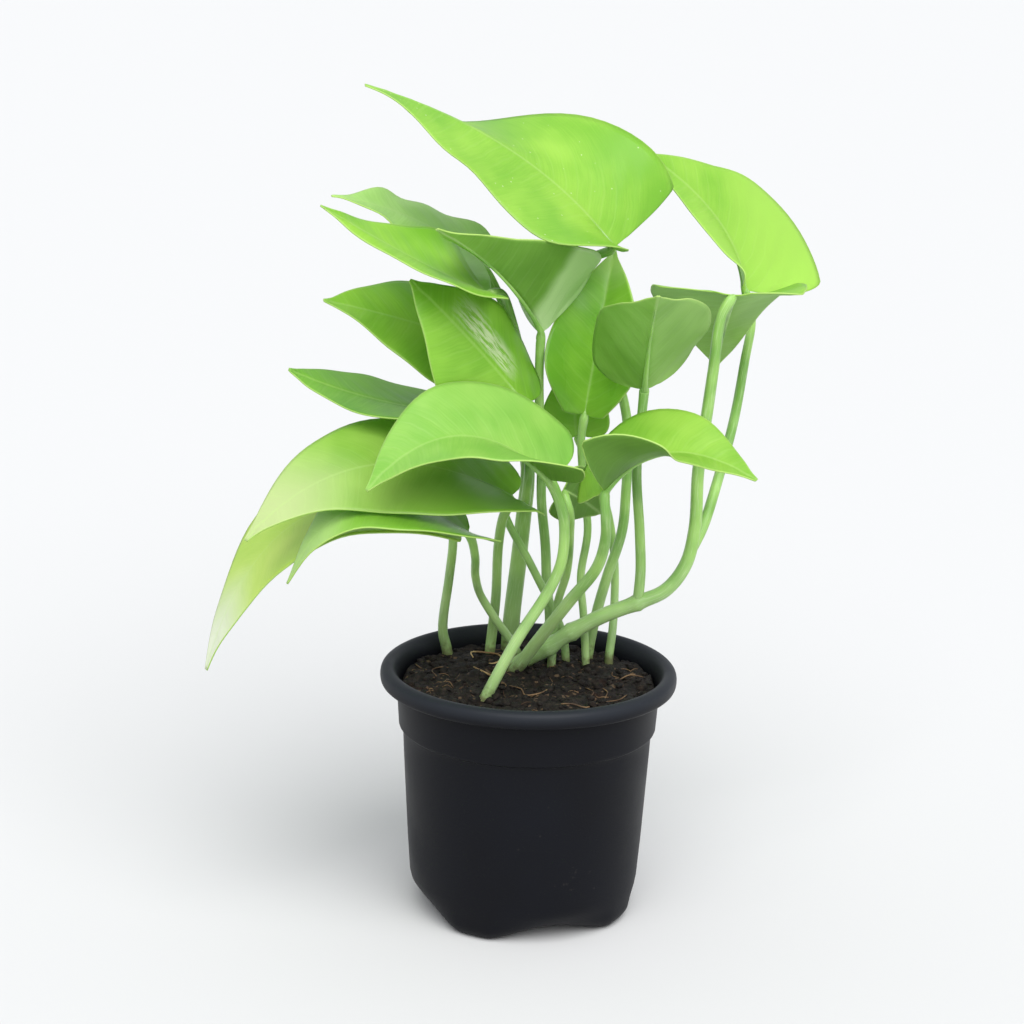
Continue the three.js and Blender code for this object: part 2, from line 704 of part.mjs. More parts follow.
function soil() {
  const side = [
    [POT_BASE_RADIUS - POT_WALL - 7.6, FLOOR_TOP + SOIL_CLEARANCE],
    [POT_BASE_RADIUS + 0.7 - POT_WALL - SOIL_CLEARANCE, 15],
    [POT_STEP_RADIUS - POT_WALL - SOIL_CLEARANCE, STEP_HEIGHT - 0.6],
    [POT_BAND_RADIUS - POT_WALL - SOIL_CLEARANCE, STEP_HEIGHT + 2.4],
    [POT_NECK_RADIUS - POT_WALL - SOIL_CLEARANCE, NECK_HEIGHT - 0.4],
  ];
  const rings = [41, 33, 25, 17, 9];
  const points = [];
  const faces = [];
  const ring = (make) => {
    const first = points.length;
    for (let i = 0; i < SOIL_SECTORS; i++) {
      const angle = (2 * Math.PI * i) / SOIL_SECTORS;
      points.push(make(Math.cos(angle), Math.sin(angle)));
    }
    return first;
  };
  const levels = side.map(([r, z]) => ring((c, s) => new THREE.Vector3(r * c, r * s, z)));
  for (const r of rings) {
    levels.push(ring((c, s) => new THREE.Vector3(r * c, r * s, soilHeight(r * c, r * s))));
  }
  for (let n = 0; n < levels.length - 1; n++) {
    for (let i = 0; i < SOIL_SECTORS; i++) {
      const j = (i + 1) % SOIL_SECTORS;
      const a = levels[n] + i;
      const b = levels[n] + j;
      const c = levels[n + 1] + j;
      const d = levels[n + 1] + i;
      faces.push([a, b, c], [a, c, d]);
    }
  }
  const bottom = points.push(new THREE.Vector3(0, 0, side[0][1])) - 1;
  const top = points.push(new THREE.Vector3(0, 0, soilHeight(0, 0))) - 1;
  const last = levels[levels.length - 1];
  for (let i = 0; i < SOIL_SECTORS; i++) {
    const j = (i + 1) % SOIL_SECTORS;
    faces.push([bottom, levels[0] + j, levels[0] + i], [top, last + i, last + j]);
  }
  const holes = STEMS.map((stem) => stemBody(stem, STEM_HOLE_GAP));
  const body = holes.reduce((rest, hole) => rest.subtract(hole), toManifold(solid(points, faces)));
  return fromManifold(body);
}

// ---- the whole plant -------------------------------------------------------------------

const plant = new THREE.Group();
plant.name = "potted_pothos_plant";
plant.add(named("pot", pot(), POT_BLACK, 0.5));
plant.add(named("soil", soil(), SOIL_BROWN, 0.95));
for (const stem of STEMS) {
  plant.add(named(stem.name, fromManifold(stemBody(stem, 0)), STEM_GREEN, 0.45));
}
for (const leaf of LEAVES) {
  plant.add(named(leaf.name, blade(leaf), leaf.color ?? LEAF_GREEN, 0.4));
}

for (const piece of plant.children) {
  piece.geometry.translate(-SPREAD_CENTRE[0], -SPREAD_CENTRE[1], 0);
}

export default plant;
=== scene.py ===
"""Looks of a potted pothos: lime-green blades on pale petioles, a black nursery pot, dark soil."""

import math
import random

import bmesh
import bpy
from mathutils import Matrix, Vector, noise


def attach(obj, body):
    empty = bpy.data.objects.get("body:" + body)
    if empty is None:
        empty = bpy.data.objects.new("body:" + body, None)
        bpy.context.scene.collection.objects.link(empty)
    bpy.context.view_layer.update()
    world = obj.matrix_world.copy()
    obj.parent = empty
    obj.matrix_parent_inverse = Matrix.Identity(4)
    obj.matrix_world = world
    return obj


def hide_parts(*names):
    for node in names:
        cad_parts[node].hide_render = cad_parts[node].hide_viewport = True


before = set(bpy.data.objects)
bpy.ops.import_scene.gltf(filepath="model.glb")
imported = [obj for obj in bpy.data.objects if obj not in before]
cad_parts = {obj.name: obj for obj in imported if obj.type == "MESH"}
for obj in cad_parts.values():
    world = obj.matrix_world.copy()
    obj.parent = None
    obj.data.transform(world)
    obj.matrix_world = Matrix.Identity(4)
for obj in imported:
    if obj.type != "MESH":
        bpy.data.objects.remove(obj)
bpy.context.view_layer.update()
MM = 0.001
# Shapes are laid out in mm from the middle of the pot; the frame's origin is under the middle
# of the plant's spread, which lies here.
SPREAD_CENTRE = Vector((-4.297, 11.991, 0))
DICE = random.Random(7)


# ---- small tools -------------------------------------------------------------------------

def hex_colour(code):
    """An sRGB hex value as the linear colour that a shader socket takes."""
    parts = [int(code[k:k + 2], 16) / 255 for k in (1, 3, 5)]
    line = [c / 12.92 if c <= 0.04045 else ((c + 0.055) / 1.055) ** 2.4 for c in parts]
    return (*line, 1.0)


def node(tree, kind, inputs=None, **settings):
    """Adds a node with its settings; inputs holds values or the sockets that feed them."""
    made = tree.nodes.new(kind)
    for key, value in settings.items():
        setattr(made, key, value)
    for key, value in (inputs or {}).items():
        if isinstance(value, bpy.types.NodeSocket):
            tree.links.new(value, made.inputs[key])
        else:
            made.inputs[key].default_value = value
    return made


def maths(tree, how, *values):
    return node(tree, "ShaderNodeMath", dict(enumerate(values)), operation=how).outputs[0]


def ramp(tree, value, low, high, start=0.0, end=1.0):
    """Takes a value between low and high softly from start to end, and holds it beyond."""
    return node(tree, "ShaderNodeMapRange", {
        0: value, 1: low, 2: high, 3: start, 4: end
    }, interpolation_type="SMOOTHSTEP").outputs[0]


def blend(tree, share, below, above):
    """Lays one colour over another; a colour is a hex value or a socket."""
    below, above = (hex_colour(c) if isinstance(c, str) else c for c in (below, above))
    return node(tree, "ShaderNodeMix", {0: share, 6: below, 7: above}, data_type="RGBA").outputs[2]


def cloudy(tree, place, scale, detail=2.0, rough=0.5):
    return node(tree, "ShaderNodeTexNoise", {
        "Vector": place, "Scale": scale, "Detail": detail, "Roughness": rough
    }).outputs[0]


def new_material(name):
    material = bpy.data.materials.new(name)
    material.use_nodes = True
    tree = material.node_tree
    tree.nodes.clear()
    return material, tree


def finish_piece(name, bm, materials, replaces=()):
    """Turns a bmesh in millimetres into a smooth piece of the plant, in place."""
    bmesh.ops.translate(bm, vec=-SPREAD_CENTRE, verts=bm.verts)
    bmesh.ops.scale(bm, vec=(MM, MM, MM), verts=bm.verts)
    mesh = bpy.data.meshes.new(name)
    bm.to_mesh(mesh)
    bm.free()
    mesh.polygons.foreach_set("use_smooth", [True] * len(mesh.polygons))
    for material in materials:
        mesh.materials.append(material)
    piece = bpy.data.objects.new(name, mesh)
    bpy.context.scene.collection.objects.link(piece)
    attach(piece, "root")
    if replaces:
        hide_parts(*replaces)
    return piece


def through(values, s):
    """A value that passes through four control values at 0, 1/3, 2/3 and 1."""
    a = (1 - 3 * s) * (2 - 3 * s) * (1 - s) / 2
    b = 9 * s * (2 - 3 * s) * (1 - s) / 2
    c = 9 * s * (3 * s - 1) * (1 - s) / 2
    d = s * (3 * s - 1) * (3 * s - 2) / 2
    return values[0] * a + values[1] * b + values[2] * c + values[3] * d


def smooth_line(points, steps):
    """A rounded line through the points, with steps stretches between two of them."""
    points = [Vector(p) for p in points]
    ends = [2 * points[0] - points[1], *points, 2 * points[-1] - points[-2]]
    line = []
    for i in range(1, len(ends) - 2):
        p0, p1, p2, p3 = ends[i - 1:i + 3]
        d0, d1, d2 = [max((b - a).length ** 0.5, 1e-4) for a, b in ((p0, p1), (p1, p2), (p2, p3))]
        start = ((p1 - p0) / d0 - (p2 - p0) / (d0 + d1) + (p2 - p1) / d1) * d1
        stop = ((p2 - p1) / d1 - (p3 - p1) / (d1 + d2) + (p3 - p2) / d2) * d1
        for k in range(steps):
            t = k / steps
            line.append(
                p1 * (2 * t ** 3 - 3 * t ** 2 + 1) + start * (t ** 3 - 2 * t ** 2 + t)
                + p2 * (3 * t ** 2 - 2 * t ** 3) + stop * (t ** 3 - t ** 2)
            )
    line.append(points[-1].copy())
    return line


# ---- camera, light and floor -------------------------------------------------------------

# The view, worked out from the ellipses of the pot's rim and foot: where the camera stands in mm
# from the middle of the pot, how it is turned in degrees, and its focal length in pixels of a
# frame that is FRAME_WIDTH pixels wide.
CAMERA_PLACE = (0, -855.2, 374.4)
CAMERA_YAW, CAMERA_PITCH, CAMERA_ROLL = -0.515, 14.55, 1.5
FOCAL_PIXELS, FRAME_WIDTH, SENSOR_WIDTH = 2421, 1024, 36
# how far the floor reaches from the middle to each side, in metres
FLOOR_REACH = 15


def place_camera():
    """An 85 mm view from a little above, turned and rolled by a hair."""
    yaw, pitch, roll = (math.radians(a) for a in (CAMERA_YAW, CAMERA_PITCH, CAMERA_ROLL))
    ahead = Vector((
        math.sin(yaw) * math.cos(pitch), math.cos(yaw) * math.cos(pitch), -math.sin(pitch)
    ))
    level = Vector((math.cos(yaw), -math.sin(yaw), 0))
    above = level.cross(ahead)
    right = level * math.cos(roll) + above * math.sin(roll)
    top = above * math.cos(roll) - level * math.sin(roll)
    lens = bpy.data.cameras.new("studio_camera")
    lens.lens = SENSOR_WIDTH * FOCAL_PIXELS / FRAME_WIDTH
    lens.sensor_width = SENSOR_WIDTH
    lens.clip_end = 100
    camera = bpy.data.objects.new("studio_camera", lens)
    place = Matrix((right, top, -ahead)).transposed().to_4x4()
    place.translation = (Vector(CAMERA_PLACE) - SPREAD_CENTRE) * MM
    camera.matrix_world = place
    bpy.context.scene.collection.objects.link(camera)
    bpy.context.scene.camera = camera


def soft_light(name, toward, spread, power):
    """A broad white source, far off, that shines from the way toward points; spread is the angle
    that it fills, in degrees."""
    lamp = bpy.data.lights.new(name, "SUN")
    lamp.angle = math.radians(spread)
    lamp.energy = power
    holder = bpy.data.objects.new(name, lamp)
    holder.rotation_euler = Vector(toward).to_track_quat("Z", "Y").to_euler()
    bpy.context.scene.collection.objects.link(holder)


def light_studio():
    world = bpy.data.worlds.new("studio")
    bpy.context.scene.world = world
    world.use_nodes = True
    tree = world.node_tree
    tree.nodes.clear()
    glow = node(tree, "ShaderNodeBackground", {"Color": hex_colour("#f6f9ff"), "Strength": 0.8})
    node(tree, "ShaderNodeOutputWorld", {"Surface": glow.outputs[0]})
    soft_light("overhead_soft_light", toward=(0.2, -0.8, 1), spread=60, power=3.5)
    bpy.context.scene.view_settings.view_transform = "Standard"


def lay_floor():
    bm = bmesh.new()
    bmesh.ops.create_grid(bm, x_segments=1, y_segments=1, size=FLOOR_REACH)
    mesh = bpy.data.meshes.new("floor")
    bm.to_mesh(mesh)
    bm.free()
    material, tree = new_material("matte_white_paper")
    shader = node(tree, "ShaderNodeBsdfPrincipled", {
        "Base Color": hex_colour("#cbcbca"), "Roughness": 0.95, "Specular IOR Level": 0.1,
    })
    node(tree, "ShaderNodeOutputMaterial", {"Surface": shader.outputs[0]})
    mesh.materials.append(material)
    floor = bpy.data.objects.new("floor", mesh)
    bpy.context.scene.collection.objects.link(floor)


# ---- leaf surfaces -----------------------------------------------------------------------

VEIN_STEP = 6.0


def leaf_skin(name, light, deep, vein="#cdea92", glow="#b4ea30", rough=0.36, through_light=0.32,
              rib=0.22, base=None, tip=None, specks=0.0, streaked=False, raised=False):
    """Living leaf blade, smooth and waxy. Lime flesh that lets light through, a soft gloss, a
    midrib, very faint veins that arch to the tip every VEIN_STEP mm, and a hair-thin pale margin.
    base and tip hold a colour and where it starts and stops, in mm from the foot of the blade.
    The attribute blade holds mm right of the midrib, mm along it, and mm in from the margin."""
    material, tree = new_material(name)
    blade = node(tree, "ShaderNodeAttribute", attribute_name="blade").outputs["Vector"]
    across, along, edge = node(tree, "ShaderNodeSeparateXYZ", {0: blade}).outputs[:3]
    place = node(tree, "ShaderNodeTexCoord").outputs["Object"]
    away = maths(tree, "ABSOLUTE", across)
    # a vein leaves the midrib at about 60 degrees and bends towards the tip
    lead = maths(tree, "MULTIPLY", away, maths(tree, "MULTIPLY_ADD", away, 0.011, 0.42))
    row = maths(tree, "SUBTRACT", along, lead)
    row = maths(tree, "MULTIPLY_ADD", cloudy(tree, place, 110.0), 3.0, row)
    veins = ramp(tree, maths(tree, "PINGPONG", row, VEIN_STEP / 2), 0.0, 0.8, 1.0, 0.0)
    veins = maths(tree, "MULTIPLY", veins, ramp(tree, away, 2.0, 24.0, 1.0, 0.1))
    midrib = ramp(tree, away, 0.2, 0.9, 1.0, 0.0)
    # fine streaks between the veins, and broad patches of lighter and deeper green
    grain_at = node(tree, "ShaderNodeCombineXYZ", {
        0: maths(tree, "MULTIPLY", row, 0.9), 1: maths(tree, "MULTIPLY", away, 0.06)
    }).outputs[0]
    grain = cloudy(tree, grain_at, 1.6, 3.0)
    patches = cloudy(tree, place, 34.0, 2.5, 0.55)
    tone = maths(tree, "MULTIPLY_ADD", grain, 0.25, patches)
    flesh = blend(tree, ramp(tree, tone, 0.42, 0.84), deep, light)
    if base:
        flesh = blend(tree, ramp(tree, row, base[1], base[2], 1.0, 0.0), flesh, base[0])
    if tip:
        flesh = blend(tree, ramp(tree, row, tip[1], tip[2]), flesh, tip[0])
    flesh = blend(tree, maths(tree, "MULTIPLY", veins, 0.07), flesh, vein)
    flesh = blend(tree, maths(tree, "MULTIPLY", midrib, rib), flesh, vein)
    if specks:
        # cream specks half a millimetre across, in one cell of three
        cells = node(tree, "ShaderNodeTexVoronoi", {"Vector": place, "Scale": 330.0})
        chosen = node(tree, "ShaderNodeSeparateColor", {0: cells.outputs["Color"]}).outputs[0]
        spot = ramp(tree, cells.outputs["Distance"], 0.04, 0.13, specks, 0.0)
        spot = maths(tree, "MULTIPLY", spot, ramp(tree, chosen, 0.62, 0.7))
        flesh = blend(tree, spot, flesh, "#e4edbe")
    if streaked:
        # cream streaks that run beside the midrib on the right half of the blade
        lines_at = node(tree, "ShaderNodeCombineXYZ", {
            0: maths(tree, "MULTIPLY", across, 0.55), 1: maths(tree, "MULTIPLY", along, 0.07)
        }).outputs[0]
        lines = ramp(tree, cloudy(tree, lines_at, 1.4, 4.0, 0.7), 0.4, 0.56, 0.0, 0.85)
        inside = ramp(tree, across, 1.0, 4.0)
        inside = maths(tree, "MULTIPLY", inside, ramp(tree, across, 9.0, 15.0, 1.0, 0.0))
        inside = maths(tree, "MULTIPLY", inside, ramp(tree, along, 5.0, 14.0))
        inside = maths(tree, "MULTIPLY", inside, ramp(tree, along, 34.0, 46.0, 1.0, 0.0))
        flesh = blend(tree, maths(tree, "MULTIPLY", lines, inside), flesh, "#dfe8c0")
    flesh = blend(tree, ramp(tree, edge, 0.1, 0.5, 0.3, 0.0), flesh, "#d0e890")
    relief = maths(tree, "MULTIPLY_ADD", grain, 0.4, maths(tree, "MAXIMUM", veins, midrib))
    bump = node(tree, "ShaderNodeBump", {
        "Height": relief, "Strength": 0.14, "Distance": 0.00025
    }, invert=not raised).outputs[0]
    skin = node(tree, "ShaderNodeBsdfPrincipled", {
        "Base Color": flesh, "Roughness": ramp(tree, patches, 0.3, 0.7, rough - 0.05, rough + 0.08),
        "IOR": 1.42, "Specular IOR Level": 0.5, "Normal": bump,
    })
    inner = node(tree, "ShaderNodeBsdfTranslucent", {
        "Color": blend(tree, 0.45, flesh, glow), "Normal": bump
    })
    both = node(tree, "ShaderNodeMixShader", {0: through_light, 1: skin.outputs[0], 2: inner.outputs[0]})
    node(tree, "ShaderNodeOutputMaterial", {"Surface": both.outputs[0]})
    return material


# ---- stems -------------------------------------------------------------------------------

def stem_skin():
    """Living petiole skin, smooth and turgid. Pale green with fine whitish lines along it,
    yellower in patches, paler near the ground and smudged brown with soil where it comes out."""
    material, tree = new_material("living_petiole_skin")
    grain_at = node(tree, "ShaderNodeAttribute", attribute_name="fibre").outputs["Vector"]
    place = node(tree, "ShaderNodeTexCoord").outputs["Object"]
    lines = cloudy(tree, grain_at, 2.6, 3.0, 0.6)
    patches = cloudy(tree, place, 45.0)
    height = node(tree, "ShaderNodeSeparateXYZ", {0: place}).outputs[2]
    skin = blend(tree, ramp(tree, patches, 0.34, 0.66), "#73a24a", "#9cc668")
    skin = blend(tree, ramp(tree, height, 0.1, 0.15, 0.4, 0.0), skin, "#bcd29e")
    skin = blend(tree, ramp(tree, lines, 0.48, 0.75, 0.0, 0.3), skin, "#d6e8bc")
    specks = cloudy(tree, place, 420.0, 3.0)
    soiled = maths(tree, "MULTIPLY_ADD", specks, 0.012, height)
    skin = blend(tree, ramp(tree, soiled, 0.0945, 0.1005, 0.8, 0.0), skin, "#5a5236")
    bump = node(tree, "ShaderNodeBump", {"Height": lines, "Strength": 0.3, "Distance": 0.0002}).outputs[0]
    shader = node(tree, "ShaderNodeBsdfPrincipled", {
        "Base Color": skin, "Roughness": 0.38, "IOR": 1.42, "Normal": bump,
        "Subsurface Weight": 0.25, "Subsurface Radius": (0.6, 1.0, 0.3), "Subsurface Scale": 0.0012,
    })
    node(tree, "ShaderNodeOutputMaterial", {"Surface": shader.outputs[0]})
    return material


# The groove along a petiole faces in and a little up: half its width in radians, and how far up
# the way in points, in mm. The fibre pattern is drawn out along the stem by FIBRE_STRETCH.
GROOVE_WIDTH, GROOVE_LIFT, FIBRE_STRETCH = 0.45, 30, 0.05


def petiole(bm, line, radii, sides=14, groove=0.1):
    """Draws a round ring out along the line; radii has one value for each of its points, and
    groove is how deep its channel is, as part of the radius."""
    turn = bm.verts.layers.float.get("turn") or bm.verts.layers.float.new("turn")
    fibre = bm.verts.layers.float_vector.get("fibre") or bm.verts.layers.float_vector.new("fibre")
    ring = bmesh.ops.create_circle(bm, cap_ends=True, segments=sides, radius=1)["verts"]
    for v in ring:
        v[turn] = math.atan2(v.co.y, v.co.x)
    edges = list({e for v in ring for e in v.link_edges})
    side = Vector((1, 0, 0))
    length = 0.0
    shift = DICE.uniform(0, 50)
    for i, (point, radius) in enumerate(zip(line, radii)):
        if i:
            length += (point - line[i - 1]).length
            grown = bmesh.ops.extrude_edge_only(bm, edges=edges)["geom"]
            ring = [g for g in grown if isinstance(g, bmesh.types.BMVert)]
            fresh = set(ring)
            edges = [g for g in grown if isinstance(g, bmesh.types.BMEdge) and fresh.issuperset(g.verts)]
        ahead = (line[min(i + 1, len(line) - 1)] - line[max(i - 1, 0)]).normalized()
        side = (side - ahead * side.dot(ahead)).normalized()
        other = ahead.cross(side)
        inward = Vector((-point.x, -point.y, GROOVE_LIFT)).normalized()
        channel = math.atan2(inward.dot(other), inward.dot(side))
        for v in ring:
            gap = (v[turn] - channel + math.pi) % (2 * math.pi) - math.pi
            r = radius * (1 - groove * math.exp(-(gap / GROOVE_WIDTH) ** 2))
            v.co = point + side * (r * math.cos(v[turn])) + other * (r * math.sin(v[turn]))
            v[fibre] = (
                radius * math.cos(v[turn]) + shift, radius * math.sin(v[turn]),
                length * FIBRE_STRETCH,
            )
    bmesh.ops.contextual_create(bm, geom=edges)


# ---- blades ------------------------------------------------------------------------------

# One row across the flat blade: where it leaves the midrib and where it meets the edge,
# both as parts of the length from base to tip, and its half width as part of the width.
BLADE_ROWS = [
    (0, -0.07, 0.13), (0.01, -0.105, 0.27), (0.04, -0.06, 0.39), (0.09, 0.05, 0.47),
    (0.16, 0.18, 0.5), (0.27, 0.33, 0.49), (0.39, 0.48, 0.43), (0.52, 0.62, 0.335),
    (0.66, 0.76, 0.215), (0.81, 0.88, 0.11), (0.92, 0.95, 0.045), (1, 1, 0.012),
]

# How far along a blade its taper is complete, where it is blunt and over what stretch, and how
# far a pinch at its foot reaches, all as parts of the length.
TAPER_END, BLUNT_PLACE, BLUNT_SPREAD, PINCH_REACH = 0.55, 0.68, 0.11, 0.12
BLADE_THICKNESS = 0.5

# In mm and degrees: rib is the base, middle and tip of the midrib, and face the way the upper
# side faces at base and tip. right and left are the folds of each half at the base, at one and
# two thirds, and at the tip; curl_ is how much further a half has turned at its margin. lobe is
# how far the lobes reach back, taper how much the blade narrows, blunt how much it fills out
# before the tip, pinch_ how much a half is drawn in at the foot, wide_ how wide a half is beside
# the other, and wave how far the margins wave. skin and under name the surfaces of both sides.
LEAVES = {
    "leaf_top": dict(
        rib=[(26.5, 16, 248), (-12, 8, 283), (-62.5, -6, 305.5)],
        face=[(0.1, -0.75, 0.65), (0.1, -0.5, 0.85)],
        width=76, right=[0, -10, -45, -40], left=[72, 18, 8, 25], lobe=0.1, skin="flecked",
        taper=0.12, wide_right=1.08, blunt=0.5, pinch_left=0.55,
    ),
    "leaf_right_back": dict(
        rib=[(78.5, 60, 226.5), (66, 60, 254), (37.5, 48, 279)],
        face=[(0.55, -0.68, 0.45), (0.55, -0.65, 0.5)],
        width=74, right=[8, 0, 0, 0], left=[45, 40, 18, 5], curl_right=-10, lobe=0.5, taper=0.36,
        wide_right=1.22, skin="bright",
    ),
    "leaf_right_hanging": dict(
        rib=[(70, 12, 232.5), (70.5, 42, 217.5), (69, 68, 195.5)],
        face=[(0.05, 0.45, 0.9), (0, 0.7, 0.7)],
        width=60, right=[5, 30, 36, 20], left=[5, 12, 10, 0],
        curl_right=-5, curl_left=-5, lobe=0.5, wide_right=0.94,
    ),
    "leaf_centre_cup": dict(
        rib=[(38.5, -6, 201), (39, -26, 223), (40, -50, 241.5)],
        face=[(0, 0.6, 0.7), (0.05, 0.5, 0.8)],
        width=56, right=[36, 42, 34, 20], left=[45, 36, 38, 40], curl_left=10, lobe=0.7, taper=0.1,
        wide_right=0.92, wide_left=1.12,
    ),
    "leaf_centre_fold": dict(
        rib=[(1, 9, 217.5), (-14, -16, 242), (-35, -46, 261.5)],
        face=[(-0.4, 0.6, 0.6), (-0.4, 0.5, 0.8)],
        width=74, right=[75, 75, 60, 35], left=[30, 5, -2, -20], curl_right=40, lobe=0.4, taper=0.4,
        wide_right=0.95, under="folded",
    ),
    "leaf_left_upper": dict(
        rib=[(-18, -14, 235), (-42, -26, 247.5), (-75, -36, 267)],
        face=[(0, -0.2, 0.98), (0, -0.2, 0.98)],
        width=52, right=[10, 15, 10, 5], left=[20, 12, 0, -10],
        curl_right=10, curl_left=-30, lobe=0, wide_left=0.6,
    ),
    "leaf_left_back": dict(
        rib=[(-20, 26, 238), (-44.5, 20, 255), (-75, 8, 265)],
        face=[(0.1, -0.3, 0.9), (0.1, -0.3, 0.9)],
        width=42, right=[5, 5, 5, 0], left=[10, 5, 0, 0], curl_right=-10, curl_left=-10, wave=1.8,
        skin="pale",
    ),
    "leaf_left_mid": dict(
        rib=[(-22, 16, 211), (-48, 6, 221), (-76.5, -6, 229.5)],
        face=[(0, -0.5, 0.87), (0, -0.5, 0.87)],
        width=54, right=[5, 5, 5, 0], left=[-4, -4, 2, 5], curl_right=-10, curl_left=-10,
    ),
    "leaf_centre_left": dict(
        rib=[(-4.5, -8, 195), (-24.5, -18, 219.5), (-45, -24, 240.5)],
        face=[(-0.1, -0.7, 0.7), (0.1, -0.7, 0.7)],
        width=50, right=[-30, -18, -5, -5], left=[-5, -5, 0, 0], curl_left=-15, skin="streaked",
    ),
    "leaf_left_shade": dict(
        rib=[(-25.5, 18, 184), (-60, 8, 191.5), (-89.5, 0, 203)],
        face=[(0, -0.59, 0.81), (0, -0.59, 0.81)],
        width=54, right=[-30, -30, -24, -10], left=[45, 40, 25, 30], skin="shaded",
    ),
    "leaf_front": dict(
        rib=[(5, -36, 174.5), (-27, -46, 190.5), (-56.5, -62, 174.5)],
        face=[(0, -0.41, 0.91), (-0.1, -0.41, 0.9)],
        width=55, right=[8, 14, 16, 10], left=[60, 24, 12, 8], lobe=0.5, skin="fresh", under="deep",
    ),
    "leaf_left_large": dict(
        rib=[(-8, -8, 160.5), (-58, -28, 175), (-99, -50, 152.5)],
        face=[(0, -0.3, 0.95), (-0.2, -0.4, 0.9)],
        width=64, right=[0, 3, 3, 0], left=[25, -4, -8, 0], lobe=0.5, skin="pale_tip",
    ),
    "leaf_left_low": dict(
        rib=[(-29.5, 0, 148.5), (-84, -11, 150), (-116.5, -24, 96.5)],
        face=[(0, -0.2, 0.97), (-0.6, -0.3, 0.7)],
        width=60, right=[0, 0, -4, 0], left=[12, 8, 5, 5], lobe=0.1, skin="young",
        taper=-0.35,
    ),
    "leaf_left_narrow": dict(
        rib=[(-22.5, -20, 149), (-59.5, -40, 163.5), (-85, -45, 136)],
        face=[(0, -0.15, 0.98), (-0.6, -0.3, 0.7)],
        width=44, right=[15, 10, 3, 0], left=[15, -5, 0, 0], lobe=0.2, skin="glossy",
    ),
    "leaf_front_right": dict(
        rib=[(24.5, -46, 172.5), (47, -36, 184.5), (76.5, -46, 178)],
        face=[(0, -0.3, 0.95), (0.1, -0.4, 0.9)],
        width=56, right=[97, 42, 26, 10], left=[-45, -4, 18, 8], lobe=0.2, taper=-0.1,
        wide_right=1.08, wide_left=0.88, under="deep",
    ),
    "leaf_centre_back": dict(
        rib=[(18, 16.5, 186.5), (22.5, 23, 216.5), (27.5, 38, 244)],
        face=[(0, -0.85, 0.5), (0, -0.8, 0.6)],
        width=44, right=[50, 40, 35, 20], left=[45, 35, 25, 15], lobe=0.1, wave=1.1, skin="glossy",
        pinch_right=0.6, pinch_left=0.6,
    ),
    "leaf_small_under": dict(
        rib=[(10.5, -23, 167), (17.5, -13, 161), (24.5, -5, 154)],
        face=[(-0.7, 0.66, 0.24), (-0.7, 0.66, 0.24)],
        width=21, right=[5, 5, 0, 0], left=[5, 5, 0, 0], lobe=0.3, skin="shaded", under="deep",
    ),
    "leaf_small_back": dict(
        rib=[(15.5, 32, 174.5), (14.5, 32, 188), (15, 32, 207)],
        face=[(0, -0.9, 0.4), (0, -0.8, 0.6)],
        width=26, right=[20, 10, 0, 0], left=[20, 10, 0, 0], lobe=0.5,
    ),
}


def rib_place(leaf, s):
    """The point of the midrib at s, with the ways along it, up out of the blade and right."""
    base, middle, tip = (Vector(p) for p in leaf["rib"])
    slope = 4 * middle - 3 * base - tip
    bend = 2 * base + 2 * tip - 4 * middle
    point = base + slope * s + bend * (max(s, 0) ** 2)
    along = (slope + bend * (2 * max(s, 0))).normalized()
    part = min(max(s, 0), 1)
    up = Vector(leaf["face"][0]).normalized().lerp(Vector(leaf["face"][1]).normalized(), part)
    up = (up - along * up.dot(along)).normalized()
    return point, along, up, along.cross(up)


def blade_point(leaf, s, across):
    """A point of the blade: s along the midrib, across in mm from it, right positive."""
    point, _, up, right = rib_place(leaf, s)
    hand = 1 if across > 0 else -1
    side = "right" if across > 0 else "left"
    fold = math.radians(through(leaf[side], min(max(s, 0), 1)))
    curl = math.radians(leaf.get("curl_" + side, 0)) / (leaf["width"] / 2)
    reach = abs(across)
    lifted = math.sqrt(reach * reach + 0.8) - math.sqrt(0.8)
    if curl:
        out = (math.sin(fold + curl * reach) - math.sin(fold)) / curl
        rise = (math.cos(fold) - math.cos(fold + curl * reach)) / curl
        rise *= lifted / max(reach, 0.01)
    else:
        out, rise = reach * math.cos(fold), lifted * math.sin(fold)
    return point + right * (hand * out) + up * rise


def outline_row(place):
    """The outline's row at a place between 0 and 1, on a smooth line through the rows."""
    rows = [Vector(r) for r in BLADE_ROWS]
    k = min(int(place * (len(rows) - 1)), len(rows) - 2)
    t = place * (len(rows) - 1) - k
    a, b, c, d = (rows[min(max(k + n, 0), len(rows) - 1)] for n in (-1, 0, 1, 2))
    return 0.5 * (
        2 * b + (c - a) * t + (2 * a - 5 * b + 4 * c - d) * t * t
        + (3 * b - a - 3 * c + d) * t ** 3
    )


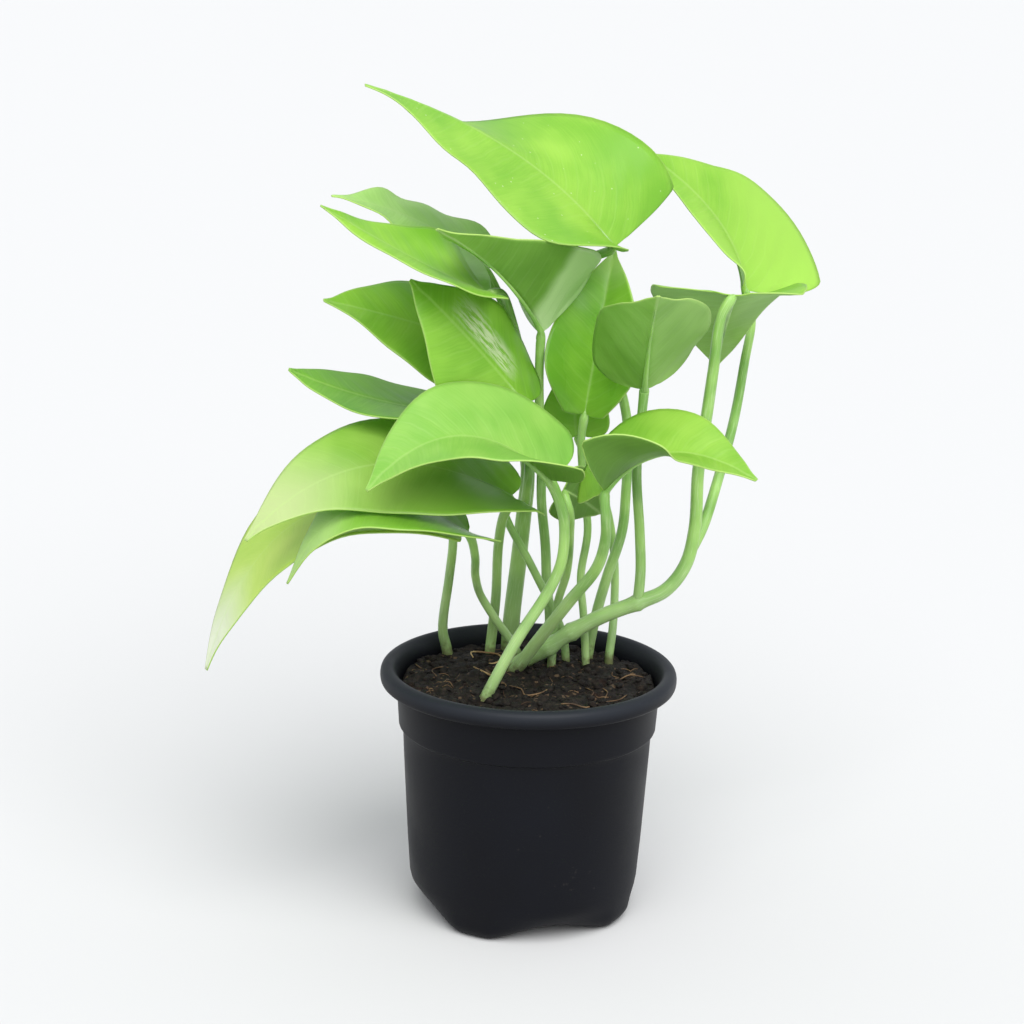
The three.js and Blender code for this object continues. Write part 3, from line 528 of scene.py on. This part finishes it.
def make_blade(name, leaf, skins):
    """A flat grid laid out to the leaf's outline, folded, curled and waved, then thickened."""
    length = sum(
        (rib_place(leaf, (k + 1) / 20)[0] - rib_place(leaf, k / 20)[0]).length for k in range(20)
    )
    lobe = leaf.get("lobe", 1)
    wave = leaf.get("wave", 0.55)
    phase = DICE.uniform(0, 6.28)
    bm = bmesh.new()
    bmesh.ops.create_grid(bm, x_segments=28, y_segments=46, size=1)
    blade = bm.verts.layers.float_vector.new("blade")
    for v in bm.verts:
        u, row = v.co.x, (v.co.y + 1) / 2
        mid, edge, half = outline_row(row)
        edge = edge * lobe if edge < 0 else edge
        half *= leaf.get("wide_right" if u > 0 else "wide_left", 1)
        half *= 1 - leaf.get("taper", 0) * min(1, max(mid, 0) / TAPER_END)
        half *= 1 + leaf.get("blunt", 0) * math.exp(-((mid - BLUNT_PLACE) / BLUNT_SPREAD) ** 2)
        pinch = leaf.get("pinch_right" if u > 0 else "pinch_left", 0)
        half *= 1 - pinch * math.exp(-(max(mid, 0) / PINCH_REACH) ** 2)
        part = abs(u)
        s = mid + (edge - mid) * part
        across = u * half * leaf["width"]
        point = blade_point(leaf, s, across)
        up = rib_place(leaf, s)[2]
        # the margins wave, and the flesh is puffed up a little in rows 8.4 mm apart
        ripple = math.sin(9.5 * s + phase + (1.3 if u > 0 else 0)) + 0.5 * math.sin(21 * s + 2 * phase)
        puff = 0.18 * math.sin(2 * math.pi * (s * length - 0.55 * abs(across)) / 8.4)
        waved = wave * ripple * part ** 2.5 * min(1, 8 * (1 - s))
        v.co = point + up * (waved + puff * math.sin(math.pi * part))
        rest = min((1 - part) * max(half * leaf["width"], 1), (1 - s) * length + 0.2)
        v[blade] = (across, s * length, rest)
    piece = finish_piece(name + "_blade", bm, skins, [name])
    wall = piece.modifiers.new("thickness", "SOLIDIFY")
    wall.thickness = BLADE_THICKNESS * MM
    wall.offset = 0
    wall.material_offset = 1
    wall.material_offset_rim = 2
    wall.use_even_offset = False
    return piece


# ---- which stem carries which blade ------------------------------------------------------

# Each stem is one or more runs: the blade it carries, the radii at foot and top, and the
# points of its path. reach is how far short of the blade the path's own end lies, STEM_REACH mm
# where it isn't given.
STEM_REACH = 2.1
STEMS = {
    "petiole_left_low": [
        dict(blade="leaf_left_low", radii=(2.2, 1.5), reach=1.1, path=[
            (-29, 26, 74), (-31.5, 28, 90), (-33, 24, 99), (-30.5, 12, 123.5), (-29, 1, 141),
        ]),
    ],
    "petiole_left_narrow": [
        dict(blade="leaf_left_narrow", radii=(1.7, 1.5), reach=1.6, path=[
            (-3, 23, 74), (-4, 22, 90), (-7, 20.5, 96.5), (-13, 16, 106.5), (-18.5, 11, 117),
            (-20.5, -1, 128), (-20.5, -13, 139),
        ]),
    ],
    "petiole_left_large": [
        dict(blade="leaf_left_large", radii=(2.1, 1.7), path=[
            (-16, 28, 74), (-15, 28.5, 90), (-14, 27, 101.5), (-13, 20, 116), (-12.5, 8, 137),
            (-11, -1, 150),
        ]),
    ],
    "petiole_left_shade": [
        dict(blade="leaf_left_shade", radii=(1.6, 1.4), path=[
            (14, 20, 74), (14, 20, 90), (12.5, 20, 100), (8, 17, 112), (3.5, 14, 121.5),
            (-2, 12, 132.5), (-9, 14, 144.5), (-14, 20, 156), (-18, 25, 168), (-21.5, 23.5, 177),
        ]),
    ],
    "vine_back": [
        dict(radii=(3.7, 2.6), path=[
            (-8, 36, 70), (-7.5, 35.5, 90), (-7, 32, 103), (-5, 29, 125.5), (-3.5, 26, 144.5),
            (-2.5, 23, 157), (-2.5, 21, 171),
        ]),
        dict(blade="leaf_centre_left", radii=(2, 1.4), path=[
            (-3.5, 26, 144.5), (-2, 14, 165), (-2.5, 1, 183),
        ]),
        dict(blade="leaf_left_mid", radii=(1.9, 1.4), path=[
            (-2.5, 23, 157), (-5.5, 22, 178), (-13.5, 19, 199.5),
        ]),
        dict(blade="leaf_left_back", radii=(2.2, 1.4), path=[
            (-2.5, 21, 170), (-4, 24, 189), (-9.5, 27, 215),
        ]),
        dict(blade="leaf_left_upper", radii=(1.8, 1.4), path=[
            (-2.5, 23, 157), (-2, 20, 180), (-5.5, 17, 204.5), (-10.5, 10, 225), (-13.5, 0, 233),
        ]),
    ],
    "petiole_centre_fold": [
        dict(blade="leaf_centre_fold", radii=(2.1, 1.6), path=[
            (8, 26, 74), (7.5, 25, 90), (7.5, 24, 105.5), (6, 24, 118), (5, 22, 134),
            (3, 18, 152.5), (2.5, 15, 172.5), (1.2, 13.8, 190), (0.8, 12.2, 203),
        ]),
    ],
    "petiole_front": [
        dict(blade="leaf_front", radii=(2.2, 1.8), path=[
            (-20, -24.5, 78), (-15, -25, 90), (-4, -27, 113), (6, -28, 130.5), (10.5, -30, 142.5),
            (11, -32, 157.5), (8.5, -34, 167),
        ]),
    ],
    "petiole_small_under": [
        dict(blade="leaf_small_under", radii=(1.7, 1.4), path=[
            (8.5, 14, 74), (8.5, 13.5, 90), (9, 14.5, 101), (10, 10, 115), (13, 0, 130),
            (13.5, -17, 149), (13, -26, 160),
        ]),
    ],
    "vine_right": [
        dict(blade="leaf_right_hanging", radii=(3.3, 1.9), nodes=(2, 3, 5), path=[
            (-14, 18, 78), (-4, 13, 90), (7.5, 8, 99), (15.5, 6, 105.5), (27.5, 4, 113),
            (39.5, 3, 118.5), (49.5, 3, 123.5), (56.5, 4, 133), (59.5, 6, 146), (60, 8, 168),
            (62.5, 10, 190.5), (64, 11, 205), (66, 10.5, 225),
        ]),
        dict(blade="leaf_right_back", radii=(2.2, 1.6), path=[
            (58, 5, 137.5), (63, 12, 146), (68.5, 24, 160.5), (75, 42, 180), (79.5, 60, 199),
            (82, 67, 214.5),
        ]),
        dict(blade="leaf_centre_cup", radii=(2.1, 1.7), reach=0.8, path=[
            (39.5, 3, 118.5), (40, 1, 131.5), (39, -1, 147), (37, -3, 170), (38, -5, 192),
        ]),
        dict(blade="leaf_front_right", radii=(2.7, 1.6), reach=1.3, path=[
            (-12, 13, 80), (-5, 6, 90), (4.5, -6, 107.5), (15, -20, 126.5), (23, -30, 140.5),
            (25.5, -39, 153.5), (25, -46.5, 165),
        ]),
    ],
    "petiole_centre_back": [
        dict(blade="leaf_centre_back", radii=(1.5, 1.5), path=[
            (22, 16, 74), (21.5, 15.5, 90), (20, 15, 109.5), (18.5, 16, 124), (20.5, 16, 142),
            (18.5, 17, 158), (17, 17, 177),
        ]),
    ],
    "petiole_top": [
        dict(blade="leaf_top", radii=(2.1, 1.6), reach=1, path=[
            (22.5, 27, 74), (22.5, 26.5, 90), (25, 24, 107), (28.5, 22, 122.5), (33.5, 22, 140.5),
            (34.5, 24, 155), (34.5, 28, 178.5), (30, 36, 196), (19, 37, 216), (12, 30.5, 231),
            (15.5, 22.5, 241.5),
        ]),
    ],
    "petiole_small_back": [
        dict(blade="leaf_small_back", radii=(1.7, 1.4), reach=1.1, path=[
            (30.5, 24, 74), (30.5, 24, 90), (31.5, 26, 100.5), (32, 31, 111), (31.5, 34, 126),
            (28, 36, 145.5), (21, 35, 162),
        ]),
    ],
}


# The rib under a blade: how far along the midrib, and its radius there in mm, for a petiole of
# RIB_PETIOLE mm radius at the top.
RIB_UNDER = [
    (0.015, 1.15), (0.06, 0.95), (0.14, 0.8), (0.3, 0.62), (0.5, 0.45), (0.7, 0.3), (0.84, 0.16),
]
RIB_PETIOLE = 1.5
STEM_STEPS = 8


def make_stem(name, runs, skin):
    """The tubes of one stem. Each run passes its blade's base and tapers out under the midrib.
    nodes holds the points of the path where the vine swells into a ringed node."""
    bm = bmesh.new()
    steps = STEM_STEPS
    for run in runs:
        path = [Vector(p) for p in run["path"]]
        low, high = run["radii"]
        radii = []
        leaf = LEAVES.get(run.get("blade"))
        if leaf:
            base = rib_place(leaf, 0)[0]
            back = (path[-1] - base).normalized()
            path.append(base + back * run.get("reach", STEM_REACH))
        count = (len(path) - 1) * steps
        for i in range(count + 1):
            t = i / count
            radius = low + (high - low) * t
            for knot in run.get("nodes", ()):
                place = t * (len(path) - 1)
                radius *= 1 + 0.16 * math.exp(-((place - knot) ** 2) / 0.05)
                radius *= 1 + 0.07 * math.exp(-((place - knot) ** 2) / 0.002)
            radii.append(radius)
        if leaf:
            # the joint under the blade is a little thicker, then the rib runs on beneath it
            for i in range(count + 1):
                radii[i] *= 1 + 0.12 * math.exp(-((count - i) / 5) ** 2)
            scale = min(1, leaf["width"] / 50)
            for s, r in RIB_UNDER:
                point, _, up, _ = rib_place(leaf, s)
                r *= scale * high / RIB_PETIOLE
                path.append(point - up * (0.15 + 0.45 * r))
                last = radii[-1]
                radii += [last + (r - last) * (k + 1) / steps for k in range(steps)]
        petiole(bm, smooth_line(path, steps), radii)
    return finish_piece(name + "_skin", bm, [skin], [name])


# ---- pot ---------------------------------------------------------------------------------

# Outside of the pot from the foot up, over the rim and down the inside, in mm: radius, height,
# and how much of the scallops between the feet lifts it and draws it in.
POT_SECTION = [
    (32.4, 6.4, 0, 1), (33, 0, 1, 1), (37, 0, 1, 1), (39.6, 1, 0.8, 0.85), (41.3, 3.4, 0.5, 0.6),
    (42, 7.4, 0.2, 0.25), (42.9, 14, 0, 0), (45.9, 62, 0, 0), (46.4, 70.2, 0, 0),
    (46.7, 70.8, 0, 0), (47.7, 71.5, 0, 0), (47.9, 73, 0, 0), (48.7, 85, 0, 0),
    (48.9, 86.8, 0, 0), (49.8, 87.3, 0, 0), (53, 87.4, 0, 0), (54.5, 88.2, 0, 0),
    (55, 90.4, 0, 0), (54.6, 92.6, 0, 0), (53.3, 93.8, 0, 0), (51.5, 94, 0, 0),
    (50.1, 93.2, 0, 0), (48.7, 90.4, 0, 0), (47.6, 86.5, 0, 0), (46.5, 72.2, 0, 0),
    (45.2, 70.2, 0, 0), (41.7, 14, 0, 0), (38.4, 7.8, 0, 0.55),
]
DRAIN_RADIUS, DRAIN_CIRCLE = 4, 26
FLOOR_BELOW, FLOOR_ABOVE = 6.4, 7.8
# four scallops between four feet: how high they rise and how far they draw the foot in
SCALLOPS, SCALLOP_RISE, SCALLOP_DRAW, SCALLOP_AZIMUTH = 4, 4.2, 8, math.radians(18 - 90)
POT_STEPS = 144


def pot_plastic():
    """Polypropylene with carbon black, injection moulded. Near black with a blue cast, faint
    flow clouds, a soft dull sheen, thin scraps of dried dust, and a painted sheen on the rim."""
    material, tree = new_material("moulded_black_polypropylene")
    place = node(tree, "ShaderNodeTexCoord").outputs["Object"]
    clouds = cloudy(tree, place, 30.0, 3.0)
    grit = cloudy(tree, place, 260.0, 6.0, 0.75)
    base = blend(tree, clouds, "#0b0b0e", "#101219")
    dusty = maths(tree, "MULTIPLY_ADD", cloudy(tree, place, 18.0), 0.6, grit)
    base = blend(tree, ramp(tree, dusty, 0.98, 1.12, 0.0, 0.14), base, "#6d675f")
    # the mould was turned on a lathe: rings 0.8 mm apart, too fine to see but as a sheen
    height = node(tree, "ShaderNodeSeparateXYZ", {0: place}).outputs[2]
    rings = maths(tree, "PINGPONG", height, 0.0004)
    # painted sheen: the lip and the top of the inner wall are made greyer and bluer where they catch the
    # light
    base = blend(tree, ramp(tree, height, 0.0882, 0.0926, 0.0, 0.45), base, "#33373d")
    relief = maths(tree, "MULTIPLY_ADD", grit, 0.0003, rings)
    bump = node(tree, "ShaderNodeBump", {"Height": relief, "Strength": 0.12, "Distance": 0.3}).outputs[0]
    shader = node(tree, "ShaderNodeBsdfPrincipled", {
        "Base Color": base, "Roughness": ramp(tree, clouds, 0.3, 0.7, 0.42, 0.52), "IOR": 1.49,
        "Specular IOR Level": 0.12, "Normal": bump,
    })
    node(tree, "ShaderNodeOutputMaterial", {"Surface": shader.outputs[0]})
    return material


def make_pot():
    """The section is spun round, the feet are drawn out between scallops, the floor is drilled."""
    bm = bmesh.new()
    lift = bm.verts.layers.float.new("lift")
    inset = bm.verts.layers.float.new("inset")
    wall = smooth_line([(r, 0, z) for r, z, _, _ in POT_SECTION], 3)
    shares = smooth_line([(a, 0, b) for _, _, a, b in POT_SECTION], 3)
    floor_under = [Vector((r, 0, FLOOR_BELOW)) for r in (0, 12, 22, 24, 26, 28, 30)]
    floor_top = [Vector((r, 0, FLOOR_ABOVE)) for r in (30, 28, 26, 24, 22, 12, 0)]
    line = [*floor_under, *wall, *floor_top]
    made = []
    for k, point in enumerate(line):
        v = bm.verts.new(point)
        share = shares[k - len(floor_under)] if 0 <= k - len(floor_under) < len(wall) else Vector()
        v[lift], v[inset] = share.x, share.z
        made.append(v)
    edges = [bm.edges.new(pair) for pair in zip(made, made[1:])]
    bmesh.ops.spin(
        bm, geom=made + edges, cent=(0, 0, 0), axis=(0, 0, 1), dvec=(0, 0, 0),
        angle=2 * math.pi, steps=POT_STEPS, use_merge=True, use_duplicate=False,
    )
    bmesh.ops.remove_doubles(bm, verts=bm.verts, dist=0.001)
    for v in bm.verts:
        angle = math.atan2(v.co.y, v.co.x)
        high = max(0, (math.cos(SCALLOPS * (angle - SCALLOP_AZIMUTH)) + 0.8) / 1.8)
        reach = math.hypot(v.co.x, v.co.y)
        if reach > 1:
            v.co.x *= 1 - SCALLOP_DRAW * v[inset] * high / reach
            v.co.y *= 1 - SCALLOP_DRAW * v[inset] * high / reach
        v.co.z = max(0, v.co.z + SCALLOP_RISE * v[lift] * high)
    # one drain hole inside each foot
    for k in range(SCALLOPS):
        angle = SCALLOP_AZIMUTH + math.pi / 4 + k * math.pi / 2
        centre = Vector((DRAIN_CIRCLE * math.cos(angle), DRAIN_CIRCLE * math.sin(angle), 0))
        over = [
            f for f in bm.faces
            if abs(f.calc_center_median().z - (FLOOR_BELOW + FLOOR_ABOVE) / 2) < 0.75
            and (f.calc_center_median().xy - centre.xy).length < DRAIN_RADIUS
        ]
        bmesh.ops.delete(bm, geom=over, context="FACES")
        rims = [e for e in bm.edges if e.is_boundary]
        for v in {v for e in rims for v in e.verts}:
            spoke = (v.co.xy - centre.xy).normalized() * DRAIN_RADIUS
            v.co.x, v.co.y = centre.x + spoke.x, centre.y + spoke.y
        bmesh.ops.bridge_loops(bm, edges=rims)
    bmesh.ops.recalc_face_normals(bm, faces=bm.faces)
    return finish_piece("nursery_pot", bm, [pot_plastic()], ["pot"])


# ---- soil --------------------------------------------------------------------------------

# the soil's height at the wall, its heap in the middle, and the reach of the heap
SOIL_LEVEL, SOIL_HEAP, HEAP_REACH = 87.6, 2.2, 47.7
SOIL_RADIUS, SOIL_RINGS, SOIL_STEPS = 46.7, 54, 200
LUMPS, LUMP_SIZES, LUMP_REACH = 620, (0.4, 0.5, 0.7, 0.9, 1.3, 1.9), 45.4
STRAY_HAIRS, STRAY_REACH, STRAY_STEP, STRAY_EDGE = 34, 42, 1.8, 45


def soil_height(x, y):
    """Height of the soil in mm: a low heap with hollows, on which the lumps lie."""
    reach = math.hypot(x, y)
    bumps = math.sin(0.31 * x + 1.1) * math.cos(0.27 * y - 0.4) + 0.6 * math.sin(0.53 * x - 0.47 * y)
    lumps = noise.fractal(Vector((x, y, 3)) * 0.16, 0.9, 2.1, 4)
    fine = noise.fractal(Vector((x, y, 9)) * 0.5, 0.8, 2.1, 3)
    heap = SOIL_LEVEL + SOIL_HEAP * (1 - (reach / HEAP_REACH) ** 2)
    return heap + 0.5 * bumps + 1.1 * lumps + 0.7 * fine


def potting_soil():
    """Peat and coir potting mix, damp. Nearly black brown, crumbs of peat 1 to 3 mm across,
    reddish bark and straw-coloured flecks, quite dull with a wet glint here and there."""
    material, tree = new_material("damp_peat_and_coir")
    place = node(tree, "ShaderNodeTexCoord").outputs["Object"]
    crumbs = cloudy(tree, place, 420.0, 5.0, 0.7)
    clods = cloudy(tree, place, 90.0, 3.0)
    earth = blend(tree, ramp(tree, crumbs, 0.38, 0.72), "#0e0c0a", "#2c241e")
    earth = blend(tree, ramp(tree, clods, 0.56, 0.7, 0.0, 0.35), earth, "#3c271c")
    cells = node(tree, "ShaderNodeTexVoronoi", {"Vector": place, "Scale": 800.0})
    chosen = node(tree, "ShaderNodeSeparateColor", {0: cells.outputs["Color"]}).outputs[0]
    earth = blend(tree, ramp(tree, chosen, 0.965, 0.98, 0.0, 0.5), earth, "#77604a")
    bump = node(tree, "ShaderNodeBump", {"Height": crumbs, "Strength": 0.9, "Distance": 0.0014}).outputs[0]
    shader = node(tree, "ShaderNodeBsdfPrincipled", {
        "Base Color": earth, "Roughness": ramp(tree, clods, 0.3, 0.7, 0.55, 0.92), "IOR": 1.4,
        "Specular IOR Level": 0.35, "Normal": bump,
    })
    node(tree, "ShaderNodeOutputMaterial", {"Surface": shader.outputs[0]})
    return material


def coir_fibre(name, light, deep):
    """Coconut husk fibre, dried. Thin straw-brown hairs with darker stretches, hardly glossy."""
    material, tree = new_material(name)
    place = node(tree, "ShaderNodeTexCoord").outputs["Object"]
    stain = ramp(tree, cloudy(tree, place, 160.0), 0.38, 0.62)
    shader = node(tree, "ShaderNodeBsdfPrincipled", {
        "Base Color": blend(tree, stain, deep, light), "Roughness": 0.7, "IOR": 1.5
    })
    node(tree, "ShaderNodeOutputMaterial", {"Surface": shader.outputs[0]})
    return material


def make_soil(skin):
    """A line from the middle out to the wall and down under, spun round and roughened."""
    bm = bmesh.new()
    line = [Vector((SOIL_RADIUS * k / SOIL_RINGS, 0, 0)) for k in range(SOIL_RINGS + 1)]
    line += [Vector(p) for p in ((44.3, 0, 70), (40.4, 0, 16), (32.6, 0, 8.6), (0, 0, 8.6))]
    made = [bm.verts.new(p) for p in line]
    edges = [bm.edges.new(pair) for pair in zip(made, made[1:])]
    bmesh.ops.spin(
        bm, geom=made + edges, cent=(0, 0, 0), axis=(0, 0, 1), dvec=(0, 0, 0),
        angle=2 * math.pi, steps=SOIL_STEPS, use_merge=True, use_duplicate=False,
    )
    bmesh.ops.remove_doubles(bm, verts=bm.verts, dist=0.001)
    for v in bm.verts:
        if v.co.z == 0:
            v.co.z = soil_height(v.co.x, v.co.y)
    bmesh.ops.recalc_face_normals(bm, faces=bm.faces)
    return finish_piece("potting_soil", bm, [skin], ["soil"])


def make_lumps(skin):
    """Loose crumbs of peat and bark on the surface, small angular bodies of twenty faces."""
    bm = bmesh.new()
    for _ in range(LUMPS):
        reach, angle = LUMP_REACH * math.sqrt(DICE.random()), DICE.uniform(0, 2 * math.pi)
        x, y = reach * math.cos(angle), reach * math.sin(angle)
        size = DICE.choice(LUMP_SIZES)
        lump = bmesh.ops.create_icosphere(bm, subdivisions=1, radius=size)["verts"]
        for v in lump:
            v.co *= DICE.uniform(0.75, 1.2)
        bmesh.ops.scale(bm, vec=(DICE.uniform(0.8, 1.6), 1, DICE.uniform(0.45, 0.8)), verts=lump)
        spin = Matrix.Rotation(DICE.uniform(0, 6.28), 3, "Z")
        tilt = Matrix.Rotation(DICE.uniform(-0.5, 0.5), 3, "X")
        bmesh.ops.rotate(bm, cent=(0, 0, 0), matrix=spin @ tilt, verts=lump)
        bmesh.ops.translate(bm, vec=(x, y, soil_height(x, y) + 0.15 * size), verts=lump)
    return finish_piece("soil_crumbs", bm, [skin])


# Hairs that stand out in the picture, in mm, each with its radius; the last number of a point
# is its height over the soil.
STRAWS = [
    # a curled ring behind the front petiole, and its end
    ([(-21, 14, 2.2), (-22, 20, 2.6), (-18, 25, 1.6), (-12, 24, 0.6), (-10.5, 17, 0.5), (-13, 11, 0.9),
      (-15, 12, 1.8)], 0.34),
    # a stiff straw
    ([(-20.5, 5.5, 0.9), (-15, -1.5, 1.1), (-9.5, -8.5, 0.8)], 0.42),
]
HAIRS = [
    ([(-34, -2, 0.3), (-36, 3, 0.8), (-33, 8, 0.6), (-30, 8, 0.2)], 0.24),
    ([(-7, -14, 0.3), (-2.5, -18, 0.7), (-1, -22, 0.6), (3, -23, 0.6), (7, -17, 0.7), (9, -10, 0.4)], 0.27),
    ([(21, -9, 0.4), (24, -16, 0.9), (22, -23, 0.5)], 0.24),
    ([(26, -8, 0.4), (29, -15, 0.8), (28, -21, 0.5)], 0.24),
    ([(34, 0, 0.3), (38, 4, 0.8), (43, 5, 0.5)], 0.27),
    ([(12, -30, 0.5), (16, -29, 0.9), (21, -30, 0.7), (25, -27, 0.4)], 0.3),
    ([(-43, 16, 0.5), (-41, 11, 0.7), (-39, 8, 0.3)], 0.26),
    ([(28, -26, 0.3), (33, -22, 0.8), (36, -17, 0.4)], 0.22),
]


def stray_hairs(count):
    """Short thin hairs strewn about, some of them curled."""
    lines = []
    for _ in range(count):
        reach, angle = STRAY_REACH * math.sqrt(DICE.random()), DICE.uniform(0, 6.28)
        heading, turn = DICE.uniform(0, 6.28), DICE.uniform(-0.9, 0.9)
        point = Vector((reach * math.cos(angle), reach * math.sin(angle), 0))
        line = []
        for _ in range(DICE.randint(4, 6)):
            line.append((point.x, point.y, DICE.uniform(0.0, 0.5)))
            point = point + Vector((math.cos(heading), math.sin(heading), 0)) * STRAY_STEP
            heading += turn + DICE.uniform(-0.3, 0.3)
            if point.xy.length > STRAY_EDGE:
                break
        if len(line) > 2:
            lines.append((line, DICE.uniform(0.09, 0.17)))
    return lines


def make_fibres(name, lines, skin):
    bm = bmesh.new()
    for points, radius in lines:
        laid = [(x, y, soil_height(x, y) + lift) for x, y, lift in points]
        line = smooth_line(laid, 3)
        swell = [math.sin(math.pi * (k + 1) / (len(line) + 1)) for k in range(len(line))]
        petiole(bm, line, [radius * (0.5 + 0.5 * share) for share in swell], sides=6, groove=0)
    return finish_piece(name, bm, [skin])


# ---- the plant ---------------------------------------------------------------------------

place_camera()
light_studio()
lay_floor()

make_pot()
earth = potting_soil()
make_soil(earth)
make_lumps(earth)
make_fibres("straws", STRAWS, coir_fibre("dry_coir_straw", "#b69a6a", "#7a5d3c"))
coir_hair = coir_fibre("damp_coir_hair", "#7c6142", "#46321f")
make_fibres("coir_fibres", HAIRS + stray_hairs(STRAY_HAIRS), coir_hair)

skin = stem_skin()
for name, runs in STEMS.items():
    make_stem(name, runs, skin)

under = leaf_skin(
    "leaf_underside", "#a6d070", "#88b84e", "#c7dea0", "#b0de40", rough=0.5, through_light=0.28, rib=0.5,
    raised=True,
)
# darker copy of the underside for the fold of leaf_centre_fold: its deeper green is painted shade in the
# fold's hollow, and the pale green 8 to 17 mm from the foot is painted light on the lobe
painted_shade_and_light_under = leaf_skin(
    "folded_leaf_underside_painted_shade_and_light", "#90c056", "#74a43e", "#c7dea0", "#b0de40", rough=0.5, through_light=0.28,
    rib=0.5, raised=True, base=("#d8f2b4", 8, 17),
)
# darker copy of the underside: its deeper green is painted shade, for blades whose undersides face down
# into shade
painted_shade_under = leaf_skin(
    "painted_shade_leaf_underside", "#6c9a36", "#527c28", "#a8c87c", "#90c42c", rough=0.45, through_light=0.28,
    rib=0.5, raised=True,
)
rim = leaf_skin("leaf_margin", "#a8d062", "#96c24e", "#c8de90", "#c2e460", rough=0.45, through_light=0.2)
# the folded and deep undersides are darker copies painted with shade; the folded one also has painted light
# at its foot
UNDERSIDES = {None: under, "folded": painted_shade_and_light_under, "deep": painted_shade_under}
# upper sides, from the common lime one to the palest young leaf; pale is a lighter copy painted with light
# and shaded a darker copy painted with shade
LIME, DEEP_LIME = "#a2d250", "#80bc3a"
SKINS = {
    None: leaf_skin("lime_leaf_skin", LIME, DEEP_LIME),
    "flecked": leaf_skin("flecked_lime_leaf_skin", LIME, DEEP_LIME, specks=0.75),
    "streaked": leaf_skin("streaked_lime_leaf_skin", "#98cc48", "#78b234", streaked=True),
    "bright": leaf_skin("bright_lime_leaf_skin", "#a2d250", "#86c23c", base=("#a8d856", 8, 44)),
    # the deeper green over the first 36 mm from the foot is partly the leaf's own colour and partly painted
    # shade under leaf_front; the pale tip is the leaf's own colour
    "pale_tip": leaf_skin(
        "pale_tipped_leaf_skin_shaded_foot", "#a4ce5a", "#8cbe46", base=("#8cc044", 4, 36), tip=("#c9d897", 50, 98),
    ),
    "glossy": leaf_skin("glossy_lime_leaf_skin", "#94ca46", "#74b234", rough=0.3, tip=("#b8de7c", 44, 62)),
    "fresh": leaf_skin("fresh_lime_leaf_skin", "#a6d666", "#88c450"),
    # a lighter copy of the lime skin: its paler green is painted light on a blade that lies in the shadow
    # of leaf_top
    "pale": leaf_skin("pale_leaf_skin_painted_light", "#c2e890", "#a4d46c"),
    "young": leaf_skin("young_leaf_skin", "#d2ea76", "#bade58", glow="#d8f048", tip=("#f4f6e2", 84, 118)),
    # a darker copy of the lime skin: its deeper green is painted shade for blades that lie under other
    # leaves
    "shaded": leaf_skin("painted_shade_leaf_skin", "#86bf42", "#64a32c", glow="#9cd82c"),
}
for name, leaf in LEAVES.items():
    make_blade(name, leaf, [SKINS[leaf.get("skin")], UNDERSIDES[leaf.get("under")], rim])
